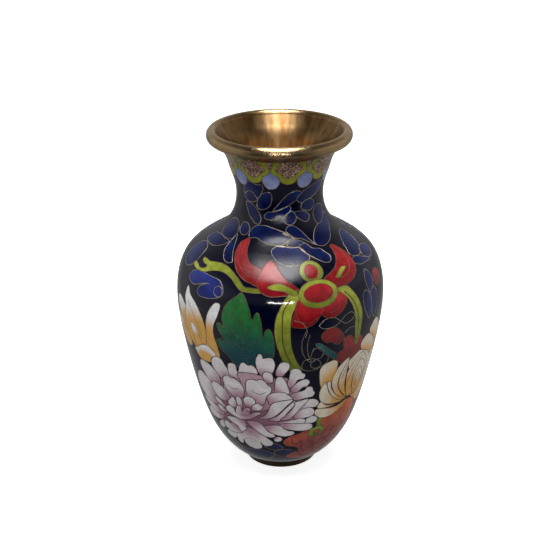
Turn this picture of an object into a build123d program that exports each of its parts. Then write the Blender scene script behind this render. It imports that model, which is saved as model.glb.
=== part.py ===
from build123d import *
import math
import os

# Cloisonne vase: a lathe-shaped copper body with a brass rim and foot, coated outside with enamel.
# Flowers, leaves and a ribbon knot are drawn with bent wires soldered on edge to the copper,
# and every cell between the wires is filled with enamel, ground flush.
# Millimetres, +Z up, origin on the floor at the centre of the foot, front of the vase towards -Y.

ENAMEL_THICK = 0.9        # enamel coat over the copper
COPPER_THICK = 1.1        # wall of the raised copper body
WIRE_THICK = 0.35         # cloison wires, seen from the front
LAP_LENGTH = 4.0          # overlap of two copper sections at a soldered joint
LOWER_JOINT_Z = 74.0      # lower shell meets upper shell
NECK_JOINT_Z = 119.0      # upper shell meets neck shell
WALL_FOOT_Z = 3.2         # enamelled wall starts on top of the foot ring
WALL_TOP_Z = 145.0        # enamelled wall ends under the mouth rim
REACH = 60.0              # further out than any wall of the vase
SMALLEST_CELL = 0.8       # mm2, a smaller gap between wires is filled with wire metal
LEAST_SOLID = 1.0         # mm3, a smaller crumb between crossing wires is left out

FOOT_BORE = 13.6          # inside of the foot ring
BASE_RADIUS = 14.8        # copper base disc, let into the foot ring
BASE_THICK = 0.9
# Outside of the foot ring from the floor up: chamfer, waist, then out under the enamel
FOOT_OUTSIDE = [(15.3, 0), (15.7, 0.4), (15.9, 1.4), (16.9, 2.4), (17.2, WALL_FOOT_Z)]
BASE_ENAMEL_THICK = 0.5
FLANGE_BORE = 12.6        # bottom edge of the lower shell, turned in over the base disc
FLANGE_CUT_BACK = 0.6     # the flange's underside stops this far inside the enamel
FLANGE_CORNER_OUT = 0.3   # corner that fills the bend from flange into wall
FLANGE_CORNER_UP = 1.2

RIM_TOP_Z = 152.0
ROLL_RADIUS = 28.0        # centre line of the rolled edge of the mouth
ROLL_WIDE = 2.3           # half width of the roll
ROLL_HIGH = 2.6           # half height of the roll
SKIRT_THICK = 0.4         # sleeve of the rim inside the neck
SKIRT_LOW_Z = 130.0
SKIRT_RUN_UP = 2.0        # the sleeve carries on this far up into the flared metal
# Metal between the sleeve and the roll: seat on the enamel, up into the roll, back down the straight funnel
FLARE = [(22.3, WALL_TOP_Z), (25.6, WALL_TOP_Z), (27.4, 147.4), (28.0, 149.4), (26.35, 151.0), (22.86, 146.27)]

# Outer surface of the enamel: (radius, height)
WALL = [
    (17.3, 3.2), (22.4, 7.6), (30.0, 18.2), (34.8, 30.4), (38.9, 45.6), (42.15, 60.8), (44.3, 76.0),
    (43.85, 88.2), (40.2, 98.1), (27.2, 108.2), (23.5, 110.8), (18.4, 121.6), (18.7, 129.2),
    (21.05, 136.8), (22.6, 141.4), (24.9, 145.0),
]

wall_line = Spline(*[(radius, 0, height) for radius, height in WALL])
WALL_LENGTH = wall_line.length


def wall_inwards(depth):
    """Points of the wall moved into the body by depth, square to the surface."""
    points = []
    for radius, height in WALL:
        along = wall_line.tangent_at(wall_line.param_at_point((radius, 0, height)))
        points.append((radius - along.Z * depth, height + along.X * depth))
    return points


def coat_sketch(outer_depth, inner_depth, low, high):
    """Half section of the wall between two depths and two heights."""
    with BuildSketch(Plane.XZ) as section:
        with BuildLine():
            outer = Spline(*wall_inwards(outer_depth))
            inner = Spline(*wall_inwards(inner_depth))
            Line(outer @ 0, inner @ 0)
            Line(outer @ 1, inner @ 1)
        make_face()
        with Locations((REACH / 2, (low + high) / 2)):
            Rectangle(REACH, high - low, mode=Mode.INTERSECT)
    return section.sketch


os.makedirs("parts", exist_ok=True)

MID_DEPTH = ENAMEL_THICK + COPPER_THICK / 2
BACK_DEPTH = ENAMEL_THICK + COPPER_THICK
WELL_BELOW = -10.0
WELL_ABOVE = 160.0

# ---------------------------------------------------------------- brass foot ring
with BuildPart() as foot_ring:
    with BuildSketch(Plane.XZ):
        with BuildLine():
            Polyline(
                (FOOT_BORE, 0), *FOOT_OUTSIDE, (BASE_RADIUS, WALL_FOOT_Z),
                (BASE_RADIUS, WALL_FOOT_Z - BASE_THICK), (FOOT_BORE, WALL_FOOT_Z - BASE_THICK), close=True,
            )
        make_face()
    revolve(axis=Axis.Z)

# ---------------------------------------------------------------- copper base disc and its coat
with BuildPart() as base_disc:
    with BuildSketch(Plane.XY.offset(WALL_FOOT_Z - BASE_THICK)):
        Circle(BASE_RADIUS)
    extrude(amount=BASE_THICK)

with BuildPart() as base_enamel:
    with BuildSketch(Plane.XY.offset(WALL_FOOT_Z - BASE_THICK - BASE_ENAMEL_THICK)):
        Circle(FOOT_BORE)
    extrude(amount=BASE_ENAMEL_THICK)

# ---------------------------------------------------------------- copper body in three sections
FLANGE_JOIN_R, FLANGE_JOIN_Z = wall_inwards(ENAMEL_THICK)[0]
with BuildPart() as lower_shell:
    add(coat_sketch(ENAMEL_THICK, MID_DEPTH, WELL_BELOW, LOWER_JOINT_Z + LAP_LENGTH))
    add(coat_sketch(MID_DEPTH, BACK_DEPTH, WELL_BELOW, LOWER_JOINT_Z))
    with BuildSketch(Plane.XZ):
        with BuildLine():
            Polyline(
                (FLANGE_BORE, WALL_FOOT_Z), (FLANGE_JOIN_R - FLANGE_CUT_BACK, WALL_FOOT_Z),
                (FLANGE_JOIN_R, FLANGE_JOIN_Z),
                (FLANGE_JOIN_R + FLANGE_CORNER_OUT, FLANGE_JOIN_Z + FLANGE_CORNER_UP),
                (FLANGE_BORE, WALL_FOOT_Z + COPPER_THICK), close=True,
            )
        make_face()
        add(coat_sketch(0, ENAMEL_THICK, WELL_BELOW, WELL_ABOVE), mode=Mode.SUBTRACT)
    revolve(axis=Axis.Z)

with BuildPart() as upper_shell:
    add(coat_sketch(ENAMEL_THICK, MID_DEPTH, LOWER_JOINT_Z + LAP_LENGTH, NECK_JOINT_Z + LAP_LENGTH))
    add(coat_sketch(MID_DEPTH, BACK_DEPTH, LOWER_JOINT_Z, NECK_JOINT_Z))
    revolve(axis=Axis.Z)

with BuildPart() as neck_shell:
    add(coat_sketch(ENAMEL_THICK, MID_DEPTH, NECK_JOINT_Z + LAP_LENGTH, WALL_TOP_Z))
    add(coat_sketch(MID_DEPTH, BACK_DEPTH, NECK_JOINT_Z, WALL_TOP_Z))
    revolve(axis=Axis.Z)

# ---------------------------------------------------------------- brass mouth rim
with BuildPart() as mouth_rim:
    with BuildSketch(Plane.XZ) as rim_section:
        with BuildLine():
            Polyline(*FLARE, close=True)
        make_face()
        with Locations((ROLL_RADIUS, RIM_TOP_Z - ROLL_HIGH)):
            Ellipse(ROLL_WIDE, ROLL_HIGH)
        add(coat_sketch(BACK_DEPTH, BACK_DEPTH + SKIRT_THICK, SKIRT_LOW_Z, WALL_TOP_Z + SKIRT_RUN_UP))
    revolve(axis=Axis.Z)

# ---------------------------------------------------------------- decoration
# Every outline is a closed loop of points (degrees, rise).  Degrees run round the vase from the
# front, to the right as seen from the front.  Rise is the distance walked up the wall in mm from
# the foot ring.  Cells are listed from the back of the design to the front, because a petal in
# front hides part of the petal behind it.

PEONY = [
    ("peony", [(-66.5, 46.5), (-65, 50.5), (-61, 53.8), (-56, 54.9), (-55, 58), (-54.5, 61.5), (-50.5, 62.2),
               (-46.5, 61.8), (-43.2, 61.4), (-42.5, 65.5), (-38.5, 67.6), (-35, 66.6), (-31.8, 63), (-30.5, 65.8),
               (-28, 66.4), (-25.8, 65.2), (-25.2, 62.4), (-22.5, 67.3), (-20.5, 67.9), (-16, 67), (-13.8, 66),
               (-13.2, 71.5), (-11.6, 73.2), (-9.4, 71.2), (-6.5, 71.6), (-4, 70.8), (-2.6, 67.4), (2, 69.5),
               (4.6, 68.6), (5.6, 65.8), (8, 66), (10.8, 65.2), (13.6, 62.2), (13.4, 60), (17, 58.2), (16, 56),
               (18.5, 55.5), (21, 51.6), (19.6, 49.4), (22.8, 47.8), (24.6, 45.6), (22.2, 43.4), (22.4, 41),
               (21.6, 39.2), (24.8, 37.6), (25.2, 35.8), (21.6, 34.4), (22.6, 32.8), (21.6, 30.9), (15, 30.6),
               (9.6, 29.6), (6, 28.2), (0.6, 27), (0.6, 25.4), (-2, 24.4), (-6, 24), (-7, 22), (-11, 20.8),
               (-14.8, 22), (-16.4, 19.4), (-21.5, 17.4), (-26.5, 18), (-30.6, 20.6), (-34.4, 19.3), (-37, 22),
               (-41.5, 21.4), (-46, 22.6), (-47.4, 25), (-50.6, 25.1), (-54, 27), (-52, 29.4), (-58.5, 30.2),
               (-62.5, 31.6), (-61.4, 34.9), (-63, 38.4), (-61.4, 41.2), (-64, 43)]),
    ("peony", [(-52, 57), (-47, 60.4), (-40, 61.5), (-33, 62), (-24, 63), (-13, 62.5), (-6, 60.5), (0, 62),
               (6, 60), (9, 56), (12, 53), (12, 50), (14, 46), (11, 42), (9, 38), (2, 33), (-6, 31), (-14, 32),
               (-30, 33), (-40, 33), (-45, 36), (-46, 40), (-51, 44), (-53, 49), (-50, 53)]),
    ("peony", [(-48.6, 50.6), (-46.4, 52.6), (-42.6, 53.1), (-38.6, 52), (-35.4, 49.6), (-33, 46), (-38, 44),
               (-43.5, 44.6), (-47.4, 47.4)]),
    ("peony", [(-36.8, 55), (-36, 57.6), (-33, 59.3), (-31.2, 58.6), (-28, 58.5), (-24.4, 56.6), (-22.6, 53.4),
               (-24, 49), (-30, 48), (-35, 51.5)]),
    ("peony", [(-21.2, 55.4), (-20.2, 58.6), (-17, 59.7), (-14, 59.4), (-12, 60.2), (-9.2, 59.4), (-7.4, 57.4),
               (-5.4, 56), (-6, 53.4), (-8.6, 51), (-11, 46.5), (-18, 47), (-21, 51)]),
    ("peony", [(-8.6, 51.2), (-5, 53.2), (0, 53.8), (4, 52.6), (7.4, 49.4), (2, 49.3), (-3, 48.2), (-6, 46),
               (-8, 48.4)]),
    ("peony", [(-24.2, 47.2), (-22.6, 49.6), (-19.6, 50.2), (-16.4, 48.8), (-16.2, 46.6), (-19, 44.4),
               (-22.8, 44.6)]),
    ("peony", [(-39.6, 39), (-38, 41.6), (-35, 42.5), (-32, 41), (-28.8, 43.8), (-26, 42), (-22, 43.7),
               (-19, 41.6), (-13, 41.7), (-16, 39.6), (-20, 37.6), (-26, 36.1), (-33, 36.6)]),
    ("peony", [(-15.8, 38.4), (-11.6, 40), (-8.6, 42.6), (-6.6, 46.2), (-4, 48), (0.4, 48.9), (7.6, 49.5),
               (4, 46.4), (0, 43), (-5, 39.8), (-10.6, 38.3)]),
    ("peony", [(-47, 28.4), (-45.6, 30.8), (-42.4, 32), (-39.6, 31.2), (-37, 32.1), (-33.8, 31.2), (-31, 29),
               (-29.8, 27.6), (-34.6, 26.2), (-41, 25.9), (-45, 26.8)]),
]
CHRYSANTHEMUM = [
    ("chrysanthemum", [(22.6, 60.6), (22.6, 63.6), (25, 65.8), (30, 67), (33.4, 66), (34.6, 62.6), (38.6, 64.6),
                       (42.6, 65.4), (46, 65.4), (51, 68.4), (53, 72), (58.4, 73.2), (61, 76.6), (65, 78.2),
                       (69, 77), (75, 72), (80, 66), (79, 58), (76, 48), (70, 41), (62, 37.6), (56, 40.4),
                       (49, 41.6), (40, 37.2), (33, 36), (27.6, 36.6), (22.4, 40), (24, 43.6), (24, 48),
                       (24, 51.4), (23, 56.4)]),
    ("chrysanthemum", [(24, 51.4), (25, 54), (27.4, 56.4), (28.6, 54.4), (31, 50), (36, 46), (44, 43.4),
                       (39, 42.8), (31.6, 43.6), (27, 45.4), (24.4, 48)]),
    ("chrysanthemum", [(31.8, 54.6), (33, 59.6), (36.6, 63.6), (42.6, 64.8), (40, 62), (37.6, 58), (36.6, 53.6),
                       (39, 49.4), (43, 46), (47.4, 43.6), (40.4, 45.6), (35, 49.2)]),
    ("chrysanthemum", [(43, 56.4), (45.4, 60.4), (49.6, 63), (54.6, 64.8), (60, 61.6), (64, 56), (61, 48),
                       (56, 43.6), (51, 43.6), (47.6, 44.4), (44.6, 49)]),
    ("chrysanthemum", [(50.4, 50.6), (52, 54.8), (55, 57), (58.4, 55.6), (60, 51.6), (58.4, 47.4), (54.8, 45.4),
                       (52, 47)]),
]
RIBBON_KNOT = [
    ("red_ribbon", [(27, 104), (32, 105.8), (37, 107.6), (42, 111), (45, 115), (46, 117.6), (49, 118.1),
                    (52, 116.2), (54.6, 112), (54.2, 107), (51, 103), (45, 100.2), (39, 99.3), (31, 98.5),
                    (26, 100)]),
    ("lime_ribbon", [(32, 98.8), (39, 99.3), (43, 96.6), (47, 91.6), (49.4, 86), (49.2, 80), (47.6, 76),
                     (45, 76), (43.6, 80), (43.4, 86), (41, 91.4), (37.4, 95.4), (32, 97.6)]),
    ("lime_ribbon", [(9, 100.8), (4, 98.7), (0, 94), (-2.8, 88), (-2.8, 80), (-0.4, 73), (3, 67), (7, 63.4),
                     (12, 64.4), (8.4, 70), (6, 76), (5.3, 82), (5.5, 88), (7, 92.5), (11, 96)]),
    ("red_ribbon", [(22, 96), (33, 97.4), (36.6, 96), (38.6, 93.4), (36, 90), (31, 87.8), (26, 87.5),
                    (22.4, 89.4), (20, 92)]),
    ("red_ribbon", [(10, 97), (7, 91), (5.8, 86.2), (9, 85.1), (14, 85), (19, 87), (22.4, 90.6), (23, 94),
                    (18, 97)]),
    ("red_ribbon", [(-14, 104.6), (-12.8, 108), (-10.4, 112.2), (-6.4, 114), (-3, 112), (0.4, 108.2),
                    (4.4, 104.8), (10, 101.4), (12, 98), (5, 98.6), (0, 98.5), (-5, 98.2), (-10, 99.4),
                    (-13, 101.8)]),
    ("lime_ribbon", [(12.2, 108.2), (14, 111.4), (20, 113.2), (26, 111.6), (27.8, 108.2), (26, 104.8),
                     (20, 103.2), (14, 104.8)]),
    ("red_ribbon", [(15.5, 108), (17, 110.4), (20, 111.3), (23.4, 110.2), (24.5, 107.8), (23, 105.6),
                    (20, 104.8), (16.8, 105.8)]),
    ("lime_ribbon", [(9.6, 98.4), (12, 102.2), (17, 104.1), (22, 104.4), (27.6, 103.6), (32, 101.4),
                     (33.6, 98.2), (31.6, 94.8), (26.6, 92.8), (21, 92.4), (15, 93.2), (11, 95.4)]),
    ("red_ribbon", [(13, 98.6), (15, 101.2), (21, 102.4), (27, 101.4), (30, 98.6), (28, 95.9), (21.6, 94.7),
                    (15.4, 95.8)]),
]
KNOT_TAILS = [
    ("lime_ribbon", [(-59, 108.4), (-52, 108.1), (-45, 109), (-38, 108.9), (-31, 107), (-25, 104), (-21, 101.5),
                     (-15.4, 101.2), (-15.4, 99.5), (-22, 99.5), (-26, 101.4), (-30, 103.8), (-37, 105.5),
                     (-44, 105), (-49, 103.5), (-54, 102.5), (-60, 102.5), (-65, 103.6), (-64, 105),
                     (-57, 103.9), (-53, 104.4), (-52, 105.8), (-56, 106.2), (-59, 107.2)]),
    ("red_ribbon", [(-39, 121.2), (-36.4, 122.8), (-33, 124.3), (-31, 123.2), (-29, 119), (-25, 114.6),
                    (-20, 111.6), (-14, 110.2), (-12, 106), (-15, 103.2), (-22, 104.4), (-28, 107.4),
                    (-34, 112.2), (-38, 117)]),
]
LILY = [
    ("lily", [(-80, 76), (-76, 84), (-74, 87), (-70, 87.6), (-64, 86), (-60, 80), (-58, 72), (-61, 67),
              (-68, 66), (-76, 69)]),
    ("lily", [(-61.2, 94.6), (-63, 91.6), (-63.6, 88.6), (-62.6, 85.8), (-62, 80), (-60, 73), (-57, 68.6),
              (-52, 66.4), (-44, 68), (-42, 74), (-44.2, 79), (-45.6, 82.6), (-49, 86.6), (-53, 89.4),
              (-58, 91.6)]),
    ("lily", [(-35, 92.7), (-33.8, 91.4), (-35.4, 87), (-38, 82.4), (-38.4, 78), (-36.6, 73), (-35.8, 68.6),
              (-38.4, 66.4), (-43, 66), (-44.6, 72), (-44, 78.6), (-43.6, 83), (-41.6, 88), (-38, 92)]),
    ("lily", [(-57.8, 78), (-56.4, 79.3), (-53.4, 78), (-50.4, 74.6), (-48.8, 71.4), (-50.6, 69.4),
              (-54.6, 67.6), (-56, 71)]),
    ("lily", [(-57.4, 66.4), (-54.4, 68), (-50, 70.2), (-45.6, 71.3), (-41.6, 70.6), (-39, 68.6), (-38.6, 66.8),
              (-43, 65.4), (-44.4, 63), (-49, 62.4), (-53.6, 62.6)]),
]
GREEN_LEAF = [
    ("green_leaf", [(-22, 98.8), (-24.6, 97.2), (-28.4, 94.8), (-31.4, 91.4), (-32.6, 87), (-31.4, 83),
                    (-33.6, 84.4), (-35.8, 83.8), (-34.6, 80.8), (-31.6, 77), (-34.4, 77.2), (-36.8, 75.6),
                    (-34.6, 72.6), (-30, 69.4), (-25.6, 65.4), (-20, 63), (-12, 64), (-6, 68), (-3.6, 72.6),
                    (-3.2, 78), (-4.4, 83), (-6, 84.8), (-8, 83.8), (-9.2, 81), (-10, 87), (-11.6, 91.2),
                    (-13.4, 91), (-15, 88.2), (-16.4, 92), (-19, 96.6)]),
]
BERRIES = [
    ("berry", [(22, 79.6), (23.6, 82), (28, 83.1), (32, 82), (35, 79.2), (36.2, 76.6), (33.4, 74.7), (30.4, 75),
               (28, 76.6), (25, 76.6)]),
    ("berry", [(36, 72.6), (37.6, 74.6), (41, 74.8), (44.4, 73), (47.4, 73.6), (49.8, 71.6), (50, 69.4),
               (47, 67.6), (43, 67.2), (37, 67), (34.6, 69)]),
]
ORANGE_FLOWER = [
    ("orange_flower", [(1.6, 24), (3, 26), (6, 27.6), (12, 29), (19, 30.6), (26, 32), (30, 35), (40, 36.4),
                       (49, 39.4), (53, 36), (54, 28), (50, 18), (40, 11), (24, 8), (10, 9), (4, 12), (8, 15),
                       (14, 16.4), (12, 20), (4, 21.4)]),
]
BLUE_LEAVES = [
    (-38, [(-52, 142), (-48, 145.4), (-41, 147.8), (-33, 147.8), (-27, 147), (-22, 147.4), (-20.4, 145.6),
           (-24, 143.4), (-28.6, 142.2), (-33, 143.3), (-38, 144.7), (-45, 144.3)]),
    (-41, [(-51, 140.6), (-46, 142.4), (-39, 143), (-33, 141.7), (-31, 140.2), (-35, 139.3), (-42, 138.9),
           (-48, 139.4)]),
    (-20, [(-28.6, 140.4), (-24, 142.4), (-17, 143.8), (-11.4, 143.6), (-10, 141.4), (-12.6, 138.6),
           (-19, 136.8), (-26, 136.4), (-29.6, 137.6)]),
    (-36, [(-49, 138), (-42, 138), (-35, 137), (-28, 135), (-24, 132.9), (-25, 130.8), (-30, 130.5),
           (-35, 131.6), (-41, 133), (-46, 135.6)]),
    (10, [(-9, 137), (-1, 140), (8, 143.1), (17, 144.7), (24, 144.4), (26, 143), (20, 141), (10, 139), (0, 137.6)]),
    (-3, [(-20, 134), (-15.6, 135.2), (-9, 135.5), (0, 136.3), (12, 137.8), (13.6, 136.4), (6, 134.6), (-2, 133),
          (-11, 132.5), (-18, 132.9)]),
    (42, [(22, 141), (30, 144), (40, 146), (50, 147.2), (60, 147), (62, 144), (52, 141.6), (40, 140.8),
          (30, 140)]),
    (39, [(30, 138.4), (35, 139.4), (43, 139.6), (49.4, 138.2), (48.4, 136.4), (42, 135.4), (34, 135.8),
          (29.6, 136.8)]),
    (31, [(23.4, 134.6), (27, 135), (34, 134.6), (39.4, 133), (37, 131.2), (31, 131.1), (25, 132.2)]),
    (13, [(8, 134.4), (4.6, 133), (7, 131.4), (13, 130.7), (19, 131.6), (20.8, 133.4), (17.6, 135), (13, 135.2)]),
    (-10, [(-35, 126.6), (-31, 129), (-24, 129.8), (-16, 129.8), (-8, 129), (2, 127.6), (6, 126.6), (8, 125),
           (4, 123.4), (-2, 122.6), (-8, 122.7), (-18, 123.5), (-25, 124.8), (-33, 124.8)]),
    (20, [(12, 126.4), (9, 128.2), (11.6, 129.6), (17, 129.6), (24, 127.4), (29, 124.6), (33, 121.2), (24, 123.4),
          (17, 125)]),
    (6, [(-7.4, 118.6), (-5, 120.8), (0, 121.6), (8, 120.2), (15, 119.6), (20, 118.4), (22, 116), (21, 114.4),
         (12, 114.2), (4, 114), (-3, 115.4)]),
    (30, [(22, 120.6), (25.4, 121.4), (29, 119.4), (35, 118), (37.6, 115.6), (39.4, 113.4), (37, 111.4),
          (32.4, 111.6), (28, 114), (24.6, 117)]),
    (55, [(38, 121), (40, 124), (46, 127), (56, 129), (66, 130.4), (74, 130.6), (72, 127.6), (62, 123.6),
          (52, 120.6), (43, 119.4)]),
    (-43, [(-49.6, 124), (-45, 121), (-41, 116.4), (-38.4, 112.6), (-39, 110.6), (-43, 111.4), (-48, 115),
           (-50.4, 119)]),
    (-66, [(-53, 119.4), (-60, 120), (-70, 120.4), (-80, 119), (-82, 115.6), (-74, 114.2), (-62, 114.6),
           (-55, 116.8)]),
    (-74, [(-67, 108.6), (-69, 111.4), (-73, 112.7), (-79, 111.8), (-82, 108), (-80, 103.8), (-75, 102),
           (-70, 102.6), (-67, 105)]),
    (-49, [(-62.8, 98.6), (-61, 100.6), (-55, 101.2), (-46, 101.2), (-38, 100.9), (-34.4, 99.6), (-38, 99),
           (-44, 99), (-50, 97.8), (-57, 96.6), (-61.4, 97)]),
    (-42, [(-50, 95), (-48.6, 93.8), (-42, 93.8), (-35.4, 95), (-33.2, 97), (-36, 98.1), (-43, 98.2),
           (-47.6, 97)]),
    (70, [(58.4, 111), (62, 115), (67, 118.2), (74, 120), (81, 119.4), (80, 114.6), (72, 110.6), (65, 109)]),
    (60, [(56.4, 96.8), (57.2, 100), (59, 101.2), (61.6, 99.4), (62.4, 96), (61, 92.8), (58, 92.4)]),
]
NAVY_LEAVES = [
    (-24, [(-42, 12), (-38, 15.4), (-28, 15.6), (-18, 16), (-8, 15), (-5, 12.6), (-14, 9.6), (-26, 8.4),
           (-36, 9)]),
]
SCALLOP = [
    ("scallop", [(-9.9, 150.2), (-8.7, 148.3), (-5.4, 146.7), (0, 146.1), (5.4, 146.7), (8.7, 148.3), (9.9, 150.2),
                 (8.4, 152.4), (3, 154.2), (-3, 154.2), (-8.4, 152.4)]),
]
LAPPET = [
    ("lappet_band", [(-18.8, 155.2), (-17.4, 153.5), (-12.2, 152.3), (-9.8, 150.7), (-7.8, 149.5), (-4.4, 148.8),
                     (0, 148.5), (4.4, 148.8), (7.8, 149.5), (9.8, 150.7), (12.2, 152.3), (17.4, 153.5),
                     (18.8, 155.2), (17.6, 157.2), (16.6, 159.4), (17, 163), (-17, 163), (-16.6, 159.4),
                     (-17.6, 157.2)]),
    ("lappet_heart", [(-14.2, 156.1), (-12.8, 154.7), (-9, 153.6), (-5.4, 152.1), (0, 151.4), (5.4, 152.1),
                      (9, 153.6), (12.8, 154.7), (14.2, 156.1), (12, 157.6), (9.4, 158), (8.2, 159.4), (8.6, 161.6),
                      (-8.6, 161.6), (-8.2, 159.4), (-9.4, 158), (-12, 157.6)]),
]
LAPPET_COUNT = 9
LAPPET_START = 10.0       # one lappet stands 10 degrees right of the front
SECTOR = 360 / LAPPET_COUNT


def wall_place(rise):
    """Radius and height of the enamel surface after walking that far up the wall."""
    along = min(rise / WALL_LENGTH, 1)
    spot = wall_line.position_at(along)
    run_on = max(rise - WALL_LENGTH, 0)
    onward = wall_line.tangent_at(1)
    return spot.X + onward.X * run_on, spot.Z + onward.Z * run_on


def facing_plane(degrees):
    """Upright plane through the axis of the vase, looking outwards at that many degrees."""
    turn = math.radians(degrees)
    return Plane(origin=(0, 0, 0), x_dir=(math.cos(turn), math.sin(turn), 0),
                 z_dir=(math.sin(turn), -math.cos(turn), 0))


def on_plane(outline, degrees):
    """An outline on the wall, seen square-on in the facing plane."""
    points = []
    for angle, rise in outline:
        radius, height = wall_place(rise)
        points.append((radius * math.sin(math.radians(angle - degrees)), height))
    return points


def move_inwards(points, distance):
    """The same loop, pulled in by the thickness of a wire."""
    area = sum(a[0] * b[1] - b[0] * a[1] for a, b in zip(points, points[1:] + points[:1]))
    side = distance if area > 0 else -distance
    pulled = []
    for before, here, after in zip(points[-1:] + points[:-1], points, points[1:] + points[:1]):
        run_x = after[0] - before[0]
        run_y = after[1] - before[1]
        run = math.hypot(run_x, run_y)
        pulled.append((here[0] - side * run_y / run, here[1] + side * run_x / run))
    return pulled


def loop_face(points, plane):
    """A closed loop of straight bends filled in."""
    with BuildSketch(plane) as loop:
        with BuildLine():
            Polyline(*points, close=True)
        make_face()
    return loop.sketch


def split_cells(cells, degrees):
    """Whole silhouette of a motif, and the visible enamel of each colour inside its wires."""
    plane = facing_plane(degrees)
    hidden = None
    visible = {}
    for colour, outline in reversed(cells):
        points = on_plane(outline, degrees)
        whole = loop_face(points, plane)
        inside = loop_face(move_inwards(points, WIRE_THICK), plane)
        shown = inside if hidden is None else inside - hidden
        fills = [face for face in shown.faces() if face.area > SMALLEST_CELL]
        visible.setdefault(colour, []).extend(fills)
        hidden = whole if hidden is None else hidden + whole
    return hidden, visible


def outward(faces):
    """Faces in a facing plane, pushed out past the wall."""
    return [extrude(face, REACH) for face in faces]


with BuildPart() as enamel_layer:
    add(coat_sketch(0, ENAMEL_THICK, WELL_BELOW, WALL_TOP_Z))
    revolve(axis=Axis.Z)

with BuildPart() as front_layer:
    add(enamel_layer.part)
    with Locations((0, REACH, 0)):
        Box(4 * REACH, 2 * REACH, 4 * REACH, mode=Mode.SUBTRACT)

# front motifs, the nearest first: (motif, facing degrees, cells, motifs that overlap it in front)
MOTIFS = [
    ("peony", -20, PEONY, []),
    ("chrysanthemum", 48, CHRYSANTHEMUM, []),
    ("ribbon", 20, RIBBON_KNOT, ["peony"]),
    ("ribbon_tails", -38, KNOT_TAILS, ["ribbon"]),
    ("lily", -56, LILY, ["peony"]),
    ("green_leaf", -20, GREEN_LEAF, ["peony", "ribbon"]),
    ("berry", 36, BERRIES, []),
    ("orange_flower", 28, ORANGE_FLOWER, ["peony", "chrysanthemum"]),
]
for number, (degrees, outline) in enumerate(BLUE_LEAVES):
    MOTIFS.append((f"blue_leaf_{number}", degrees, [("blue_leaf", outline)], []))
for number, (degrees, outline) in enumerate(NAVY_LEAVES):
    MOTIFS.append((f"navy_leaf_{number}", degrees, [("navy_leaf", outline)], ["peony"]))


def wire_node_of(motif):
    """Name of the node that holds the wires of a motif."""
    for family in ("ribbon", "blue_leaf", "navy_leaf"):
        if motif.startswith(family):
            return family + "_wires"
    return motif + "_wires"


blank_of = {}
solids = {}
for motif, degrees, cells, in_front in MOTIFS:
    silhouette, visible = split_cells(cells, degrees)
    blank_of[motif] = outward(silhouette.faces())
    piece = front_layer.part & Compound(blank_of[motif])
    for nearer in in_front:
        piece = piece - blank_of[nearer]
    fills = []
    for colour, faces in visible.items():
        posts = outward(faces)
        solids.setdefault(colour + "_enamel", []).extend((piece & Compound(posts)).solids())
        fills.extend(posts)
    solids.setdefault(wire_node_of(motif), []).extend((piece - fills).solids())

free_front = front_layer.part
for blanks in blank_of.values():
    free_front = free_front - blanks

# the border under the rim: one lappet and one scallop, then repeated round the neck
lappet_silhouette, lappet_fills = split_cells(LAPPET, 0)
lappet_blanks = outward(lappet_silhouette.faces())
scallop_silhouette, scallop_fills = split_cells(SCALLOP, 0)
scallop_blanks = outward(scallop_silhouette.faces())
beside = [blank.rotate(Axis.Z, turn) for blank in lappet_blanks for turn in (-SECTOR / 2, SECTOR / 2)]
border_nodes = []
for wire_node, blanks, fills_of, away, start in (
    ("lappet_wires", lappet_blanks, lappet_fills, [], LAPPET_START),
    ("scallop_wires", scallop_blanks, scallop_fills, beside, LAPPET_START + SECTOR / 2),
):
    piece = front_layer.part & Compound(blanks)
    if away:
        piece = piece - away
    single = {}
    posts = []
    for colour, faces in fills_of.items():
        colour_posts = outward(faces)
        posts.extend(colour_posts)
        single[colour + "_enamel"] = (piece & Compound(colour_posts)).solids()
    single[wire_node] = (piece - posts).solids()
    for node_name, pieces in single.items():
        border_nodes.append(node_name)
        solids[node_name] = [solid.rotate(Axis.Z, start + SECTOR * count)
                             for solid in pieces for count in range(LAPPET_COUNT)]

# ---------------------------------------------------------------- motif nodes
# The back of the vase carries the same design as the front, turned half round.
for node_name, pieces in solids.items():
    with BuildPart() as motif_node:
        whole_pieces = [solid for solid in pieces if solid.volume > LEAST_SOLID]
        add(whole_pieces)
        if node_name not in border_nodes:
            add([solid.rotate(Axis.Z, 180) for solid in whole_pieces])
    motif_node.part.label = node_name
    export_step(motif_node.part, f"parts/{node_name}.step", write_pcurves=False)

# ---------------------------------------------------------------- ground enamel round all the motifs
with BuildPart() as uncut_ground:
    add(free_front)
    add(free_front.rotate(Axis.Z, 180))
    for count in range(LAPPET_COUNT):
        turn = LAPPET_START + SECTOR * count
        add([blank.rotate(Axis.Z, turn) for blank in lappet_blanks], mode=Mode.SUBTRACT)
        add([blank.rotate(Axis.Z, turn + SECTOR / 2) for blank in scallop_blanks], mode=Mode.SUBTRACT)

with BuildPart() as ground_enamel:
    add([solid for solid in uncut_ground.part.solids() if solid.volume > LEAST_SOLID])

PLAIN_NODES = {
    "foot_ring": foot_ring, "base_disc": base_disc, "base_enamel": base_enamel, "lower_shell": lower_shell,
    "upper_shell": upper_shell, "neck_shell": neck_shell, "mouth_rim": mouth_rim, "ground_enamel": ground_enamel,
}
for node_name, builder in PLAIN_NODES.items():
    builder.part.label = node_name
    export_step(builder.part, f"parts/{node_name}.step", write_pcurves=False)

print("enamel layer", round(enamel_layer.part.volume), "ground", round(ground_enamel.part.volume))
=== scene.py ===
import math

import bpy
import numpy as np
from mathutils import Matrix, Vector
from mathutils.geometry import delaunay_2d_cdt


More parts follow.
